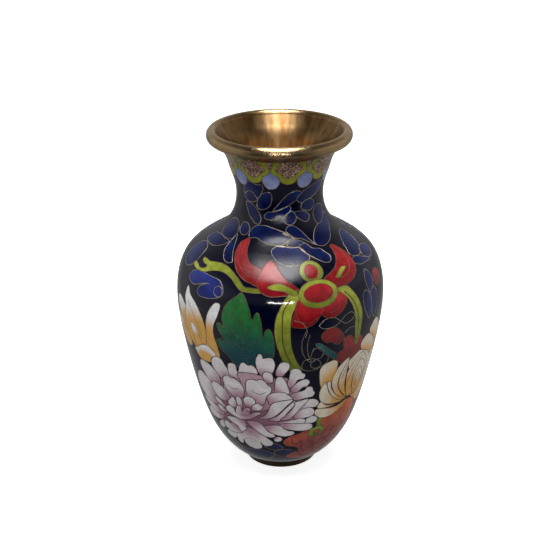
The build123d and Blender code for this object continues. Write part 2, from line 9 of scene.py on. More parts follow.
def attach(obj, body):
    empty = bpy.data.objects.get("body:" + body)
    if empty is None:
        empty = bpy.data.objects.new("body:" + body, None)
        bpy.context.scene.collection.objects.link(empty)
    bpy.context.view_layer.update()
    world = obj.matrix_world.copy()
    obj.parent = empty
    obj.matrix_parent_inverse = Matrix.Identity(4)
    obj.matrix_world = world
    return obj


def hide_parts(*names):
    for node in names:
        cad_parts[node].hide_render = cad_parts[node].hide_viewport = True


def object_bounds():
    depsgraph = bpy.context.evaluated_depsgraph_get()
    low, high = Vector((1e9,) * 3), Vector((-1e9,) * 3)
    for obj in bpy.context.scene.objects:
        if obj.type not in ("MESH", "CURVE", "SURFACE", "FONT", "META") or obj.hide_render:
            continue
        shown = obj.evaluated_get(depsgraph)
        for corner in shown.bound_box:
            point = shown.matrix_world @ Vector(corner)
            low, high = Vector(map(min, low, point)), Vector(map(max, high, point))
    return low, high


# Cloisonne vase.  The copper body, the brass rim and foot and the enamel under the base are the packed
# CAD nodes with better materials.  The fired enamel and the cloison wires are made here: every cell of the
# design is a closed outline on the wall of the vase, and the wall is divided among the cells.
# Outlines are lists of (degrees round the vase from the front, rise up the wall from the foot in mm).

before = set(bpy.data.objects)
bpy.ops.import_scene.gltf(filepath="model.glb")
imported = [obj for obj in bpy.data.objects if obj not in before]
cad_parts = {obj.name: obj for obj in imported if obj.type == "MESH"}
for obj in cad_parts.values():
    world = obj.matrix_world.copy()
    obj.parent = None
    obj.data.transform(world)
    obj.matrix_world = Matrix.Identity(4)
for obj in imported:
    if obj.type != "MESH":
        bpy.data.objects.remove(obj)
cad_low, cad_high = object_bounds()

MM = 0.001
HEIGHT_MM = 152.0
SCALE = (cad_high[2] - cad_low[2]) / (HEIGHT_MM * MM) * MM      # metres for one design millimetre

# Outer surface of the enamel, (radius, height) in mm, foot to rim, as in part.py.  All but the last point
# come from a fit of the photo's outline made outside this script, rounded.
WALL = [
    (17.3, 3.2), (22.4, 7.6), (30.0, 18.2), (34.8, 30.4), (38.9, 45.6), (42.15, 60.8), (44.3, 76.0),
    (43.85, 88.2), (40.2, 98.1), (27.2, 108.2), (23.5, 110.8), (18.4, 121.6), (18.7, 129.2),
    (21.05, 136.8), (22.6, 141.4), (24.9, 145.0),
]
ENAMEL_THICK = 0.88             # mm; the CAD's coat is 0.9
WIRE_WIDTH = 0.28
WIRE_PROUD = 0.035              # rise of a wire's middle above the enamel
WIRE_SHOULDER = 0.4             # share of that rise at a wire's edges
SHOULDER_LEAN = 0.8             # how far the shading leans outwards at those edges
WIRE_DEEP = 0.25
LAPPET_COUNT = 9
LAPPET_START = 10.0
SECTOR = 360.0 / LAPPET_COUNT
SEAM = -90.0                    # the design is unrolled from here round to SEAM + 360
BACK_TURN = 180.0               # the back repeats the front design, turned half round
DEGREE_MM = 0.7                 # one degree of turn on the wall, taken as the same at every height
GRID_RISE = 2.0
GRID_TURN = 2.5
FLOWERS_LOW = 15.0              # rises between which the petals need a finer mesh for their shading
FLOWERS_HIGH = 92.0
FINE_RISE = 1.3
FINE_TURN = 1.9
WALL_STEPS = 1200
OVAL_POINTS = 12
OUTLINE_STEPS = 5
LINE_STEPS = 6


# ------------------------------------------------------------------ outlines, back of the design first
PEONY_BED = [
    [(-52, 57), (-47, 60.4), (-40, 61.5), (-33, 62), (-24, 63), (-13, 62.5), (-6, 60.5), (0, 62), (6, 60),
     (9, 56), (12, 53), (12, 50), (14, 46), (11, 42), (9, 38), (2, 33), (-6, 31), (-14, 30), (-24, 30),
     (-34, 27), (-44, 28), (-47, 32), (-50, 36), (-50, 40), (-51, 44), (-53, 49), (-50, 53)],
]
PEONY_BACK = [
    [(-55, 58), (-54.5, 61.5), (-50.5, 62.2), (-46.5, 61.8), (-42.5, 60), (-39, 57), (-40, 52), (-46, 50.5),
     (-51, 53.5)],
    [(-43.5, 62.5), (-42.5, 65.5), (-38.5, 67.6), (-35, 66.6), (-33, 64), (-31, 61.5), (-30, 57), (-36, 56),
     (-41, 59)],
    [(-31.5, 64), (-30.5, 65.8), (-28, 66.4), (-26, 65.6), (-25.2, 62.2), (-23.8, 65.5), (-22.5, 67.3),
     (-20.5, 67.9), (-18.5, 66.8), (-16, 67), (-13.8, 65.5), (-13, 62), (-16, 57), (-25, 57), (-31, 60)],
    [(-14, 68.5), (-13.2, 71.5), (-11.6, 73.2), (-10, 72.6), (-9.4, 71), (-6.5, 71.6), (-4, 70.8),
     (-3, 67.5), (-5, 63), (-9, 61), (-12.8, 64)],
    [(-2, 66.5), (-0.5, 68.7), (2, 69.5), (4.6, 68.6), (4.9, 66.3), (3, 64), (0, 61.5), (-3, 63)],
    [(4.8, 62), (5.5, 65), (8, 66), (10.8, 65.2), (12, 63.6), (14, 62.4), (13.2, 60.3), (9.6, 59.7),
     (7, 56), (3.5, 57)],
    [(9, 58.3), (12, 59.6), (15, 59.9), (17, 58.2), (15.8, 56.2), (12.8, 55.6), (9, 53), (5.5, 55)],
    [(13.5, 54), (15.5, 55.6), (18.5, 55.5), (19.8, 53.3), (21, 51.6), (19.4, 50), (15, 49.6), (8, 49),
     (6, 52.5)],
    [(15, 48), (19, 48.9), (22.8, 47.8), (24.6, 45.6), (22.8, 43.8), (19.5, 43.6), (12, 41.5), (8, 45)],
    [(17.5, 44.2), (21.2, 43), (22.4, 41), (21, 39), (17, 38.4), (10, 38), (8, 42)],
    [(17, 37.8), (21.5, 39), (24.8, 37.6), (25.2, 35.8), (22.5, 34.6), (16.5, 35), (10, 36.5)],
    [(9, 38), (13.5, 38.6), (16.6, 37.4), (16.2, 35.6), (11.5, 34.8), (2, 35), (-2, 37)],
    [(15, 35.2), (20.5, 34.6), (22.6, 32.8), (21.6, 30.9), (15, 30.6), (9, 31.5), (0, 33.5), (1, 36)],
    [(4, 31.9), (8.6, 31), (9.6, 29.4), (6, 28.2), (0, 28.2), (-8, 30.5), (-12, 34), (-2, 35)],
    [(-5.6, 26.6), (-2.6, 27.9), (0.4, 27), (0.6, 25.4), (-2, 24.4), (-5, 24.8)],
    [(-47, 24.5), (-46, 22.6), (-41.5, 21.4), (-38.6, 22), (-36.9, 23.4), (-37, 21), (-34.4, 19.3),
     (-32, 20.4), (-31.2, 22.9), (-30, 19.8), (-26.5, 18), (-21.5, 17.4), (-17.2, 18.4), (-15.4, 20.4),
     (-16.6, 23.4), (-14.4, 21.4), (-11, 20.8), (-7, 22), (-6.2, 24), (-10, 26.4), (-16, 30), (-25, 32),
     (-36, 29), (-43, 26.6)],
    [(-9.5, 31), (-5.4, 29.4), (-4.4, 27.8), (-8, 27.1), (-12.5, 28), (-18.5, 31), (-24, 35.5), (-15, 36)],
    [(-54, 27.6), (-52, 29), (-48, 31), (-44, 33), (-46, 28), (-48.6, 26), (-50.6, 25.1), (-53.4, 26)],
    [(-62.5, 31.4), (-61.4, 34.6), (-57, 35.8), (-50, 35), (-43, 34.5), (-47, 31.5), (-53, 30.2),
     (-58.5, 30.2)],
    [(-63, 38.4), (-61.4, 41.2), (-57, 41), (-51, 39), (-44, 38.5), (-43, 35), (-50, 34.4), (-57, 35.6)],
    [(-66.5, 46.5), (-65, 50.5), (-61, 53.8), (-56, 54.9), (-50.5, 53), (-45, 50), (-43, 43), (-46, 39.5),
     (-52, 39.5), (-59, 40.8), (-64, 43)],
]
PEONY_FRONT = [
    [(-24, 57), (-25.6, 61.5), (-19, 62.8), (-11, 62), (-9, 57), (-4, 52), (-4, 46), (-16, 42), (-34, 42),
     (-38, 48), (-36, 55), (-29, 59)],
    [(-10.4, 61.5), (-9.6, 63.8), (-7.4, 64.3), (-5, 63.4), (-4.2, 61), (-4.8, 58.7), (-8, 58.4)],
    [(-3.2, 59.5), (-1.6, 61.9), (0.8, 61.7), (2.4, 60), (4, 57), (5, 53), (1, 51.5), (-3.6, 53.5)],
    [(-48.6, 50.6), (-46.4, 52.6), (-42.6, 53.1), (-38.6, 52), (-35.4, 49.6), (-33, 46), (-38, 44),
     (-43.5, 44.6), (-47.4, 47.4)],
    [(-36.8, 55), (-36, 57.6), (-33, 59.3), (-31.2, 58.6), (-28, 58.5), (-24.4, 56.6), (-22.6, 53.4),
     (-24, 49), (-30, 48), (-35, 51.5)],
    [(-21.2, 55.4), (-20.2, 58.6), (-17, 59.7), (-14, 59.4), (-12, 60.2), (-9.2, 59.4), (-7.4, 57.4),
     (-5.4, 56), (-6, 53.4), (-8.6, 51), (-11, 46.5), (-18, 47), (-21, 51)],
    [(-48.4, 43.4), (-46.4, 44.6), (-42, 43.2), (-38.4, 41), (-41, 39.8), (-46, 41.4)],
    [(-48, 39.2), (-45, 40.4), (-40.4, 39), (-39, 37.4), (-44, 37.2)],
    [(-8.6, 51.2), (-5, 53.2), (0, 53.8), (4, 52.6), (7.4, 49.4), (2, 49.3), (-3, 48.2), (-6, 46),
     (-8, 48.4)],
    [(-36.4, 44.2), (-34.4, 46.2), (-32, 48), (-30.2, 46.8), (-29.4, 44.4), (-30, 42), (-35, 42.4)],
    [(-29.4, 47.6), (-27.6, 49.2), (-25.6, 47.8), (-25, 45), (-25.6, 42.6), (-28.6, 43)],
    [(-24.2, 47.2), (-22.6, 49.6), (-19.6, 50.2), (-16.4, 48.8), (-16.2, 46.6), (-19, 44.4), (-22.8, 44.6)],
    [(-18.6, 45), (-15, 46.9), (-12, 46), (-11.6, 44.4), (-14.4, 42.8), (-19, 42.6)],
    [(-39.6, 39), (-38, 41.6), (-35, 42.5), (-32.4, 41.2), (-31.7, 39.4), (-30.8, 41.8), (-28.8, 43.8),
     (-26.2, 43.2), (-26.4, 40.8), (-24.6, 42.6), (-22, 43.7), (-19.8, 42.8), (-20.8, 40.2), (-17.6, 41.6),
     (-13, 41.7), (-16, 39.6), (-20, 37.6), (-26, 36.1), (-33, 36.6)],
    [(-8, 38.2), (-2, 40.8), (3, 44.8), (8.4, 48.6), (8.6, 46.4), (3.6, 41.6), (1, 38.4), (-4, 37.4)],
    [(-15.8, 38.4), (-11.6, 40), (-8.6, 42.6), (-6.6, 46.2), (-4, 48), (0.4, 48.9), (7.6, 49.5), (4, 46.4),
     (0, 43), (-5, 39.8), (-10.6, 38.3)],
    [(-0.6, 38.2), (3.6, 41.2), (7, 44.2), (8.8, 46.6), (8.2, 47.6), (12, 48.6), (17.4, 48.9), (13, 44.6),
     (8, 40.2), (4, 38)],
    [(-47, 28.4), (-45.6, 30.8), (-42.4, 32), (-39.6, 31.2), (-37, 32.1), (-33.8, 31.2), (-31, 29),
     (-29.8, 27.6), (-34.6, 26.2), (-41, 25.9), (-45, 26.8)],
    [(-31, 28.2), (-28.4, 28.6), (-25.8, 30.4), (-24.8, 33.6), (-27, 35.8), (-35, 36), (-41, 34.6),
     (-37, 32.4), (-33, 31)],
]
CHRYSANTHEMUM = [
    [(59, 73.5), (61, 76.6), (65, 78.2), (69, 77), (75, 72), (80, 66), (76, 62), (66, 66)],
    [(51, 69.6), (53, 72), (57.4, 73), (61.6, 71.4), (67, 68), (72, 63), (66, 60), (57, 63.6),
     (52.6, 66.6)],
    [(22.6, 60.6), (22.6, 63.6), (25, 65.8), (30, 67), (33.4, 66), (34.2, 63), (33, 59), (31, 55.4),
     (27.4, 55.8), (25, 53.6), (23.4, 56.4)],
    [(42.6, 62), (46, 65.2), (51.4, 66.8), (54.6, 65.8), (60, 64), (66, 60), (70, 54), (62, 50), (50, 52)],
    [(52, 43.4), (56, 41), (62, 37.6), (68, 39), (74, 46), (76, 54), (72, 62), (64, 60), (56, 50)],
    [(24, 51.4), (25, 54), (27.4, 56.4), (28.6, 54.4), (31, 50), (36, 46), (44, 43.2), (39, 42.6),
     (31.6, 43.6), (27, 45.4), (24.4, 48)],
    [(23.8, 43.6), (26, 46), (28, 44.8), (31, 43.2), (38, 42), (31, 41.8), (25, 42.4)],
    [(22.2, 40.2), (23.4, 42.2), (28, 41.8), (34, 41), (40, 40.8), (49.6, 42.2), (46, 39.4), (40, 37.2),
     (33, 36), (27.6, 36.6), (24, 38.4)],
    [(28.6, 55.4), (31, 56), (32, 52.4), (35, 49), (40, 46), (47, 43.2), (41, 43.8), (35, 46.4),
     (30.6, 51)],
    [(31.8, 54.6), (33, 59.6), (36.6, 63.6), (42.6, 65.8), (40, 62), (37.6, 58), (36.6, 53.6), (39, 49.4),
     (43, 46), (47.4, 43.4), (40.4, 45.6), (35, 49.2)],
    [(42.8, 65.4), (42.6, 61), (42.4, 56), (43, 51), (45, 47), (47.6, 43.6), (42.6, 46.8), (38.6, 50.4),
     (37, 54), (38, 58.4), (40.4, 62.4)],
    [(43, 56.4), (45.4, 60.4), (49.6, 63), (54.6, 64.8), (60, 61.6), (64, 56), (61, 48), (56, 43.6),
     (51, 43.6), (47.6, 44), (44.6, 49)],
    [(49.6, 53), (50.6, 57), (53.6, 60.6), (57.6, 60.4), (61.4, 56.6), (62, 50.8), (59, 46), (55, 43.6),
     (51.4, 46), (50.2, 49.6)],
    [(50.4, 50.6), (52, 54.8), (55, 57), (58.4, 55.6), (60, 51.6), (58.4, 47.4), (54.8, 45.4), (52, 47)],
    [(52.6, 50.6), (54, 53.4), (56.4, 53.8), (58, 51.4), (57, 48.6), (54.4, 47.8)],
]
LILY = [
    [(-80, 76), (-79, 80), (-75, 79.6), (-69, 77), (-62, 73), (-60, 68), (-64, 65.6), (-72, 68)],
    [(-75.6, 84), (-74, 87), (-70, 87.6), (-66, 86.4), (-62, 84.2), (-58, 80), (-58, 74), (-64, 74),
     (-71, 79)],
    [(-61.2, 94.6), (-63, 91.6), (-63.6, 88.6), (-62.6, 85.8), (-64, 80), (-62, 73), (-58, 68.6),
     (-52, 66.4), (-44, 68), (-42, 74), (-44.2, 79), (-45.6, 82.6), (-49, 86.6), (-53, 89.4), (-58, 91.6)],
    [(-35, 92.7), (-33.8, 91.4), (-35.4, 87), (-38, 82.4), (-38.4, 78), (-36.6, 73), (-35.8, 68),
     (-38.4, 66.4), (-43, 66), (-44.6, 72), (-44, 78.6), (-43.6, 83), (-41.6, 88), (-38, 92)],
    [(-57.8, 78), (-56.4, 79.3), (-53.4, 78), (-50.4, 74.6), (-48.8, 71.4), (-50.6, 69.4), (-54.6, 67.6),
     (-56, 71)],
    [(-57.4, 66.4), (-54.4, 68), (-50, 70.2), (-45.6, 71.3), (-41.6, 70.6), (-39, 68.6), (-38.6, 66.8),
     (-43, 65.4), (-44.4, 63), (-49, 62.4), (-53.6, 62.6)],
]
GREEN_LEAF = [
    [(-22, 98.8), (-24.6, 97.2), (-28.4, 94.8), (-31.4, 91.4), (-32.6, 87), (-31.4, 83), (-33.6, 84.4),
     (-35.8, 83.8), (-34.6, 80.8), (-31.6, 77), (-34.4, 77.2), (-36.8, 75.6), (-34.6, 72.6), (-30, 69.4),
     (-25.6, 65.4), (-20, 63), (-12, 64), (-6, 68), (-3.6, 72.6), (-3.2, 78), (-4.4, 83), (-6, 84.8),
     (-8, 83.8), (-9.2, 81), (-10, 87), (-11.6, 91.2), (-13.4, 91), (-15, 88.2), (-16.4, 92), (-19, 96.6)],
]
KNOT_LIME = [
    [(-59, 108.4), (-55, 108.4), (-52, 108.1), (-45, 109), (-38, 108.9), (-31, 107), (-25, 104),
     (-21, 101.5), (-15, 101.3), (-11, 100.8), (-11, 99.5), (-16, 99.3), (-22, 99.5), (-26, 101.4),
     (-30, 103.8), (-37, 105.5), (-44, 105), (-49, 103.5), (-54, 102.5), (-60, 102.5), (-65, 103.6),
     (-64, 105), (-61, 104.8), (-57, 103.9), (-53, 104.4), (-52, 105.8), (-56, 106.2), (-59, 107.2)],
    [(9, 100.8), (4, 98.7), (0, 94), (-2.8, 88), (-2.8, 80), (-0.4, 73), (3, 67), (7, 63.4), (12, 64.4),
     (8.4, 70), (6, 76), (5.3, 82), (5.5, 88), (7, 92.5), (11, 96)],
    [(32, 98.8), (39, 99.3), (43, 96.6), (47, 91.6), (49.4, 86), (49.2, 80), (47.6, 72), (45, 72),
     (43.6, 80), (43.4, 86), (41, 91.4), (37.4, 95.4), (32, 97.6)],
]
KNOT_RED = [
    [(-39, 121.2), (-36.4, 122.8), (-33, 124.3), (-31, 123.2), (-29, 119), (-25, 114.6), (-20, 111.6),
     (-13, 110), (-9, 106), (-12, 102), (-17, 103), (-22, 104.2), (-28, 107.2), (-34, 112.2), (-38, 117)],
    [(-14, 104.6), (-12.8, 108), (-10.4, 112.2), (-6.4, 114), (-3, 112), (0.4, 108.2), (4.4, 104.8),
     (10, 101.4), (12, 98), (5, 98.6), (0, 98.5), (-5, 98.2), (-10, 99.4), (-13, 101.8)],
    [(27, 104), (32, 105.8), (37, 107.6), (42, 111), (45, 115), (46, 117.6), (49, 118.1), (52, 116.2),
     (54.6, 112), (54.2, 107), (51, 103), (45, 100.2), (39, 99.3), (31, 98.5), (26, 100)],
    [(22, 96), (33, 97.4), (36.6, 96), (38.6, 93.4), (36, 90), (31, 87.8), (26, 87.5), (22.4, 89.4),
     (20, 92)],
    [(10, 97), (7, 91), (5.8, 86.2), (9, 85.1), (14, 85), (19, 87), (22.4, 90.6), (23, 94), (18, 97)],
]
NECK_BLUE = [
    [(-52, 142), (-48, 146), (-41, 148.5), (-33, 148.4), (-27, 147.6), (-22, 148), (-20.4, 146),
     (-24, 143.4), (-28.6, 141), (-33, 142.3), (-38, 143.7), (-45, 143.3)],
    [(-51, 141), (-46, 143), (-39, 143.8), (-33, 142.3), (-30.6, 140.4), (-35, 139.3), (-42, 138.9),
     (-48, 139.6)],
    [(-29.4, 140.4), (-24, 143), (-17, 144.3), (-11.4, 144), (-10, 141.4), (-12.6, 138.6), (-19, 136.8),
     (-26, 136.4), (-31, 137.6)],
    [(-49, 138.4), (-42, 138.4), (-35, 137.5), (-28, 135.4), (-24, 132.9), (-25, 130.6), (-30, 130.3),
     (-35, 131.4), (-41, 133), (-46, 135.6)],
    [(-9, 136.2), (-1, 139.4), (8, 142.9), (17, 144.7), (25, 144.6), (28.4, 143.2), (21, 140.6),
     (10, 138.4), (0, 137)],
    [(-20, 134), (-15.6, 135.6), (-9, 135.9), (0, 136.7), (12, 138.4), (13.6, 136.4), (6, 134.4), (-2, 133),
     (-11, 132.5), (-18, 132.9)],
    [(22, 140.8), (30, 144), (40, 146), (50, 147.2), (60, 147), (62, 144), (52, 141.4), (40, 140),
     (30, 139)],
    [(29.4, 138.6), (35, 139.8), (43, 140), (49.4, 138.4), (48.4, 136.2), (42, 135.2), (34, 135.6),
     (28.6, 136.8)],
    [(18, 135.4), (27, 135.7), (34, 135), (39.4, 133.2), (37, 131.2), (31, 131.1), (25, 132.4), (20, 134)],
    [(14, 136), (8, 134.6), (4.6, 133), (7, 131.2), (13, 130.5), (19, 131.6), (20.8, 133.6), (17.6, 135.6)],
    [(46, 133), (50, 135.4), (58, 136.4), (68, 135), (66, 131), (58, 129), (50, 128.6), (46.6, 130.6)],
]
SHOULDER_BLUE = [
    [(-35, 126.6), (-31, 129), (-24, 130), (-16, 130), (-8, 129.2), (2, 128), (10, 126.6), (16.6, 124.8),
     (10, 124.4), (4, 122.4), (-2, 121.6), (-8, 122.3), (-18, 123.3), (-25, 124.6), (-33, 124.2)],
    [(16.6, 124.8), (10, 126.7), (6.6, 128.2), (9.6, 130), (17, 129.8), (24, 127.6), (29, 124.6),
     (33, 121.4), (34.4, 120), (24, 124)],
    [(6.6, 121.6), (10, 123.6), (17, 124), (24, 122.2), (19, 121), (13, 120.6)],
    [(-7.4, 118.6), (-5, 120.8), (0, 121.8), (8, 120.6), (13, 120.4), (19, 119.8), (22.8, 116), (21, 113.4),
     (12, 111.6), (4, 111.6), (-3, 114.4)],
    [(18, 121), (24.4, 122), (29, 119), (35, 118), (37.6, 115.6), (39.4, 113.4), (37, 111), (32.4, 110.8),
     (27, 113.6), (22, 116.6), (18.6, 119)],
    [(34, 121), (37, 124.4), (44, 127.4), (56, 129.6), (66, 131), (74, 131.4), (72, 127.6), (62, 123.6),
     (52, 120.4), (40, 118.7)],
    [(-49.6, 124), (-45, 121), (-40.4, 116.4), (-36.4, 112.6), (-35, 111), (-38, 110), (-43, 111.4),
     (-48, 115), (-50.4, 119)],
    [(-50, 126.8), (-48, 129.6), (-41, 129.8), (-36.6, 127.8), (-38, 125.2), (-44, 124.6)],
    [(-51.4, 121.4), (-50.8, 125.6), (-56, 128.8), (-66, 129.6), (-76, 127.4), (-78, 123.4), (-70, 120.8),
     (-60, 120.4)],
    [(-52, 119.8), (-60, 120), (-70, 120.4), (-80, 119), (-82, 115.6), (-74, 114.2), (-62, 114.6),
     (-55, 116.8)],
    [(-64, 108.6), (-66, 112), (-72, 113.7), (-79, 112.8), (-82, 108), (-80, 102.8), (-74, 100.8),
     (-68, 101.6), (-64, 104.6)],
    [(56.4, 110), (60, 115), (66, 118.6), (74, 120.8), (82, 120), (80, 114.6), (72, 110), (64, 108)],
    [(67, 106.6), (70, 109.6), (77, 110.4), (83, 108.4), (82, 105), (74, 104)],
    [(53, 107.6), (58, 108.6), (64, 107), (72, 103.6), (66, 103.8), (58, 104.4), (54, 106)],
    [(55.6, 96.8), (56.8, 100.4), (59, 101.8), (62, 99.6), (63, 96), (61.4, 92.4), (57.6, 92)],
    [(51, 92.4), (54, 93.8), (57, 91.8), (58.8, 86.6), (56.6, 80.6), (53, 84), (51, 88)],
    [(59, 92), (63, 93), (66, 89), (65, 83), (61, 80), (59, 86)],
]
BRIGHT_FLOWER = [
    (-62.6, 97.6), (-62, 100.4), (-58, 102.2), (-51, 102.7), (-44, 102.4), (-38, 102), (-34.4, 100),
    (-33, 97.2), (-35.4, 95), (-42, 93.4), (-49.6, 92.9), (-52, 94.8), (-50, 97.2), (-45, 99.2),
    (-51, 97.6), (-57, 96.2),
]
BERRIES = [
    [(22, 79.6), (23.6, 82), (28, 83.1), (32, 82), (35, 79.2), (36.2, 76.6), (33.4, 74.7), (30.4, 75),
     (28, 76.6), (25, 76.6)],
    [(36, 74.6), (37.6, 76.6), (41, 76.8), (44.4, 74.6), (48, 75.4), (51.4, 73.4), (52.2, 70), (50, 67),
     (46, 63), (41, 62), (36, 64.4), (32.4, 67), (33, 69.8), (36.6, 71.4)],
    [(64, 96.4), (66, 99), (70, 99.4), (74, 97.6), (75, 94.4), (71, 91.6), (67, 92.4), (65, 94)],
]
ORANGE = [
    [(1.6, 24), (3, 26), (6, 27.6), (12, 29), (19, 30.6), (26, 32), (29, 37), (36, 39.5), (46, 42),
     (56, 41), (61, 37), (62, 28), (58, 18), (47, 10.6), (36, 8), (24, 7.6), (10, 9), (4, 12), (8, 15),
     (14, 16.4), (12, 20), (4, 21.4)],
]
NAVY = [
    [(-14, 21.2), (-9, 23.6), (-3, 22.6), (1.6, 20), (-3, 18.4), (-10, 18.8)],
    [(-6, 16.6), (0, 18.6), (7, 18.2), (13, 15.8), (9, 13.2), (2, 12.2), (-5, 13.6)],
    [(-42, 12), (-38, 16), (-28, 16.2), (-18, 17.4), (-8, 15.4), (-6, 12.6), (-14, 9.6), (-26, 8.4),
     (-36, 9)],
    [(-12, 7), (-9, 10), (-2, 10.8), (4, 9), (3, 6.4), (-4, 5.2)],
]
KNOT_TONGUE = [
    (-7.4, 102), (-4, 103.3), (0, 103.5), (5, 102), (9.6, 99.8), (7.4, 98.4), (2, 100.4), (-4, 101),
]
KNOT_SPOT = [
    (34.6, 103.4), (36.6, 104.6), (39, 106), (42, 107.1), (45.4, 106.6), (43, 105.4), (40, 104.4),
    (37.4, 103),
]
TEAL_LEAF = [
    (19, 77.2), (22.4, 76.4), (27.6, 73), (33, 69), (31.6, 67.4), (27, 69.8), (22, 73.4), (19.2, 75.8),
]
CALYX_STEM = [
    (25.2, 37.4), (29, 37), (29.2, 33.4), (30.6, 30.4), (28, 29.4), (26, 31.2), (25.4, 34),
]
TEAL_LOW = [
    (-58, 22), (-54, 26), (-48, 26), (-42, 21), (-38, 16), (-42, 10), (-50, 8), (-56, 14),
]
SCALLOP = [
    (-9.9, 150.2), (-8.7, 148.3), (-5.4, 146.7), (0, 146.1), (5.4, 146.7), (8.7, 148.3), (9.9, 150.2),
    (8.4, 152.4), (3, 154.2), (-3, 154.2), (-8.4, 152.4),
]
COLLAR_GAP = [
    (-6, 156), (0, 154.6), (6, 156), (7, 163), (-7, 163),
]
LAPPET_BAND = [
    (-19.3, 155.2), (-17.4, 153.5), (-12.2, 152.3), (-9.8, 150.7), (-7.8, 149.5), (-4.4, 148.8), (0, 148.5),
    (4.4, 148.8), (7.8, 149.5), (9.8, 150.7), (12.2, 152.3), (17.4, 153.5), (19.3, 155.2), (17.6, 157.2),
    (16.6, 159.4), (17, 163), (-17, 163), (-16.6, 159.4), (-17.6, 157.2),
]
LAPPET_HEART = [
    (-14.2, 156.1), (-12.8, 154.7), (-9, 153.6), (-5.4, 152.1), (0, 151.4), (5.4, 152.1), (9, 153.6),
    (12.8, 154.7), (14.2, 156.1), (12, 157.6), (9.4, 158), (8.2, 159.4), (8.6, 162.6), (-8.6, 162.6),
    (-8.2, 159.4), (-9.4, 158), (-12, 157.6),
]


def oval(centre, radii):
    """Closed outline of an oval: centre (degrees, rise), radii (degrees, mm)."""
    turns = [math.tau * step / OVAL_POINTS for step in range(OVAL_POINTS)]
    return [(centre[0] + radii[0] * math.cos(turn), centre[1] + radii[1] * math.sin(turn)) for turn in turns]


# ------------------------------------------------------------------ enamel colours
def linear(red, green, blue):
    """Display colour 0-255 to scene-linear."""
    return tuple(pow(channel / 255.0, 2.2) for channel in (red, green, blue))


def glaze_paint(tip, root, root_ends=0.0, tip_begins=1.0):
    """Colours at the tip and root of a cell, and the shares of its reach between which they change."""
    return linear(*tip), linear(*root), root_ends, tip_begins


PAINTS = {
    "ground": glaze_paint((10, 13, 34), (10, 13, 34)),
    "collar": glaze_paint((96, 82, 66), (70, 58, 46)),
    "peony": glaze_paint((222, 215, 217), (176, 136, 155), 0.10, 0.58),
    "peony_deep": glaze_paint((192, 156, 170), (156, 116, 134)),
    "peony_bed": glaze_paint((168, 130, 147), (136, 98, 115)),
    "cream": glaze_paint((228, 216, 194), (214, 158, 80), 0.20, 0.80),
    "lily": glaze_paint((230, 228, 228), (214, 162, 80), 0.48, 0.74),
    "leaf": glaze_paint((42, 108, 56), (24, 66, 76), 0.2, 0.8),
    "lime": glaze_paint((150, 159, 60), (110, 120, 40)),
    "red": glaze_paint((172, 42, 48), (120, 20, 26)),
    "berry": glaze_paint((140, 46, 46), (100, 34, 38)),
    "blue": glaze_paint((10, 33, 90), (8, 20, 62)),
    "bright_blue": glaze_paint((16, 42, 122), (10, 24, 92)),
    "navy": glaze_paint((34, 42, 88), (24, 28, 58)),
    "teal": glaze_paint((46, 96, 96), (28, 66, 72)),
    "dull_teal": glaze_paint((60, 84, 80), (40, 58, 60)),
    "stalk": glaze_paint((132, 146, 62), (88, 108, 44)),
    # the orange flower darkens toward its roots near the foot: partly the petals' own tone, partly painted
    # shade on the low body
    "orange": glaze_paint((206, 94, 58), (140, 74, 70), 0.42, 0.95),
    "lavender": glaze_paint((140, 150, 194), (112, 122, 168)),
    "olive": glaze_paint((138, 142, 46), (104, 108, 40)),
    "brown": glaze_paint((94, 70, 60), (70, 50, 44)),
}

PEONY_HEART = (-22, 40)
CHRYSANTHEMUM_HEART = (50, 46)
LILY_HEART = (-47, 60)
KNOT_HEART = (20, 40)
LEAF_HEART = (-20, 62)
BORDER_HEART = (0, 175)
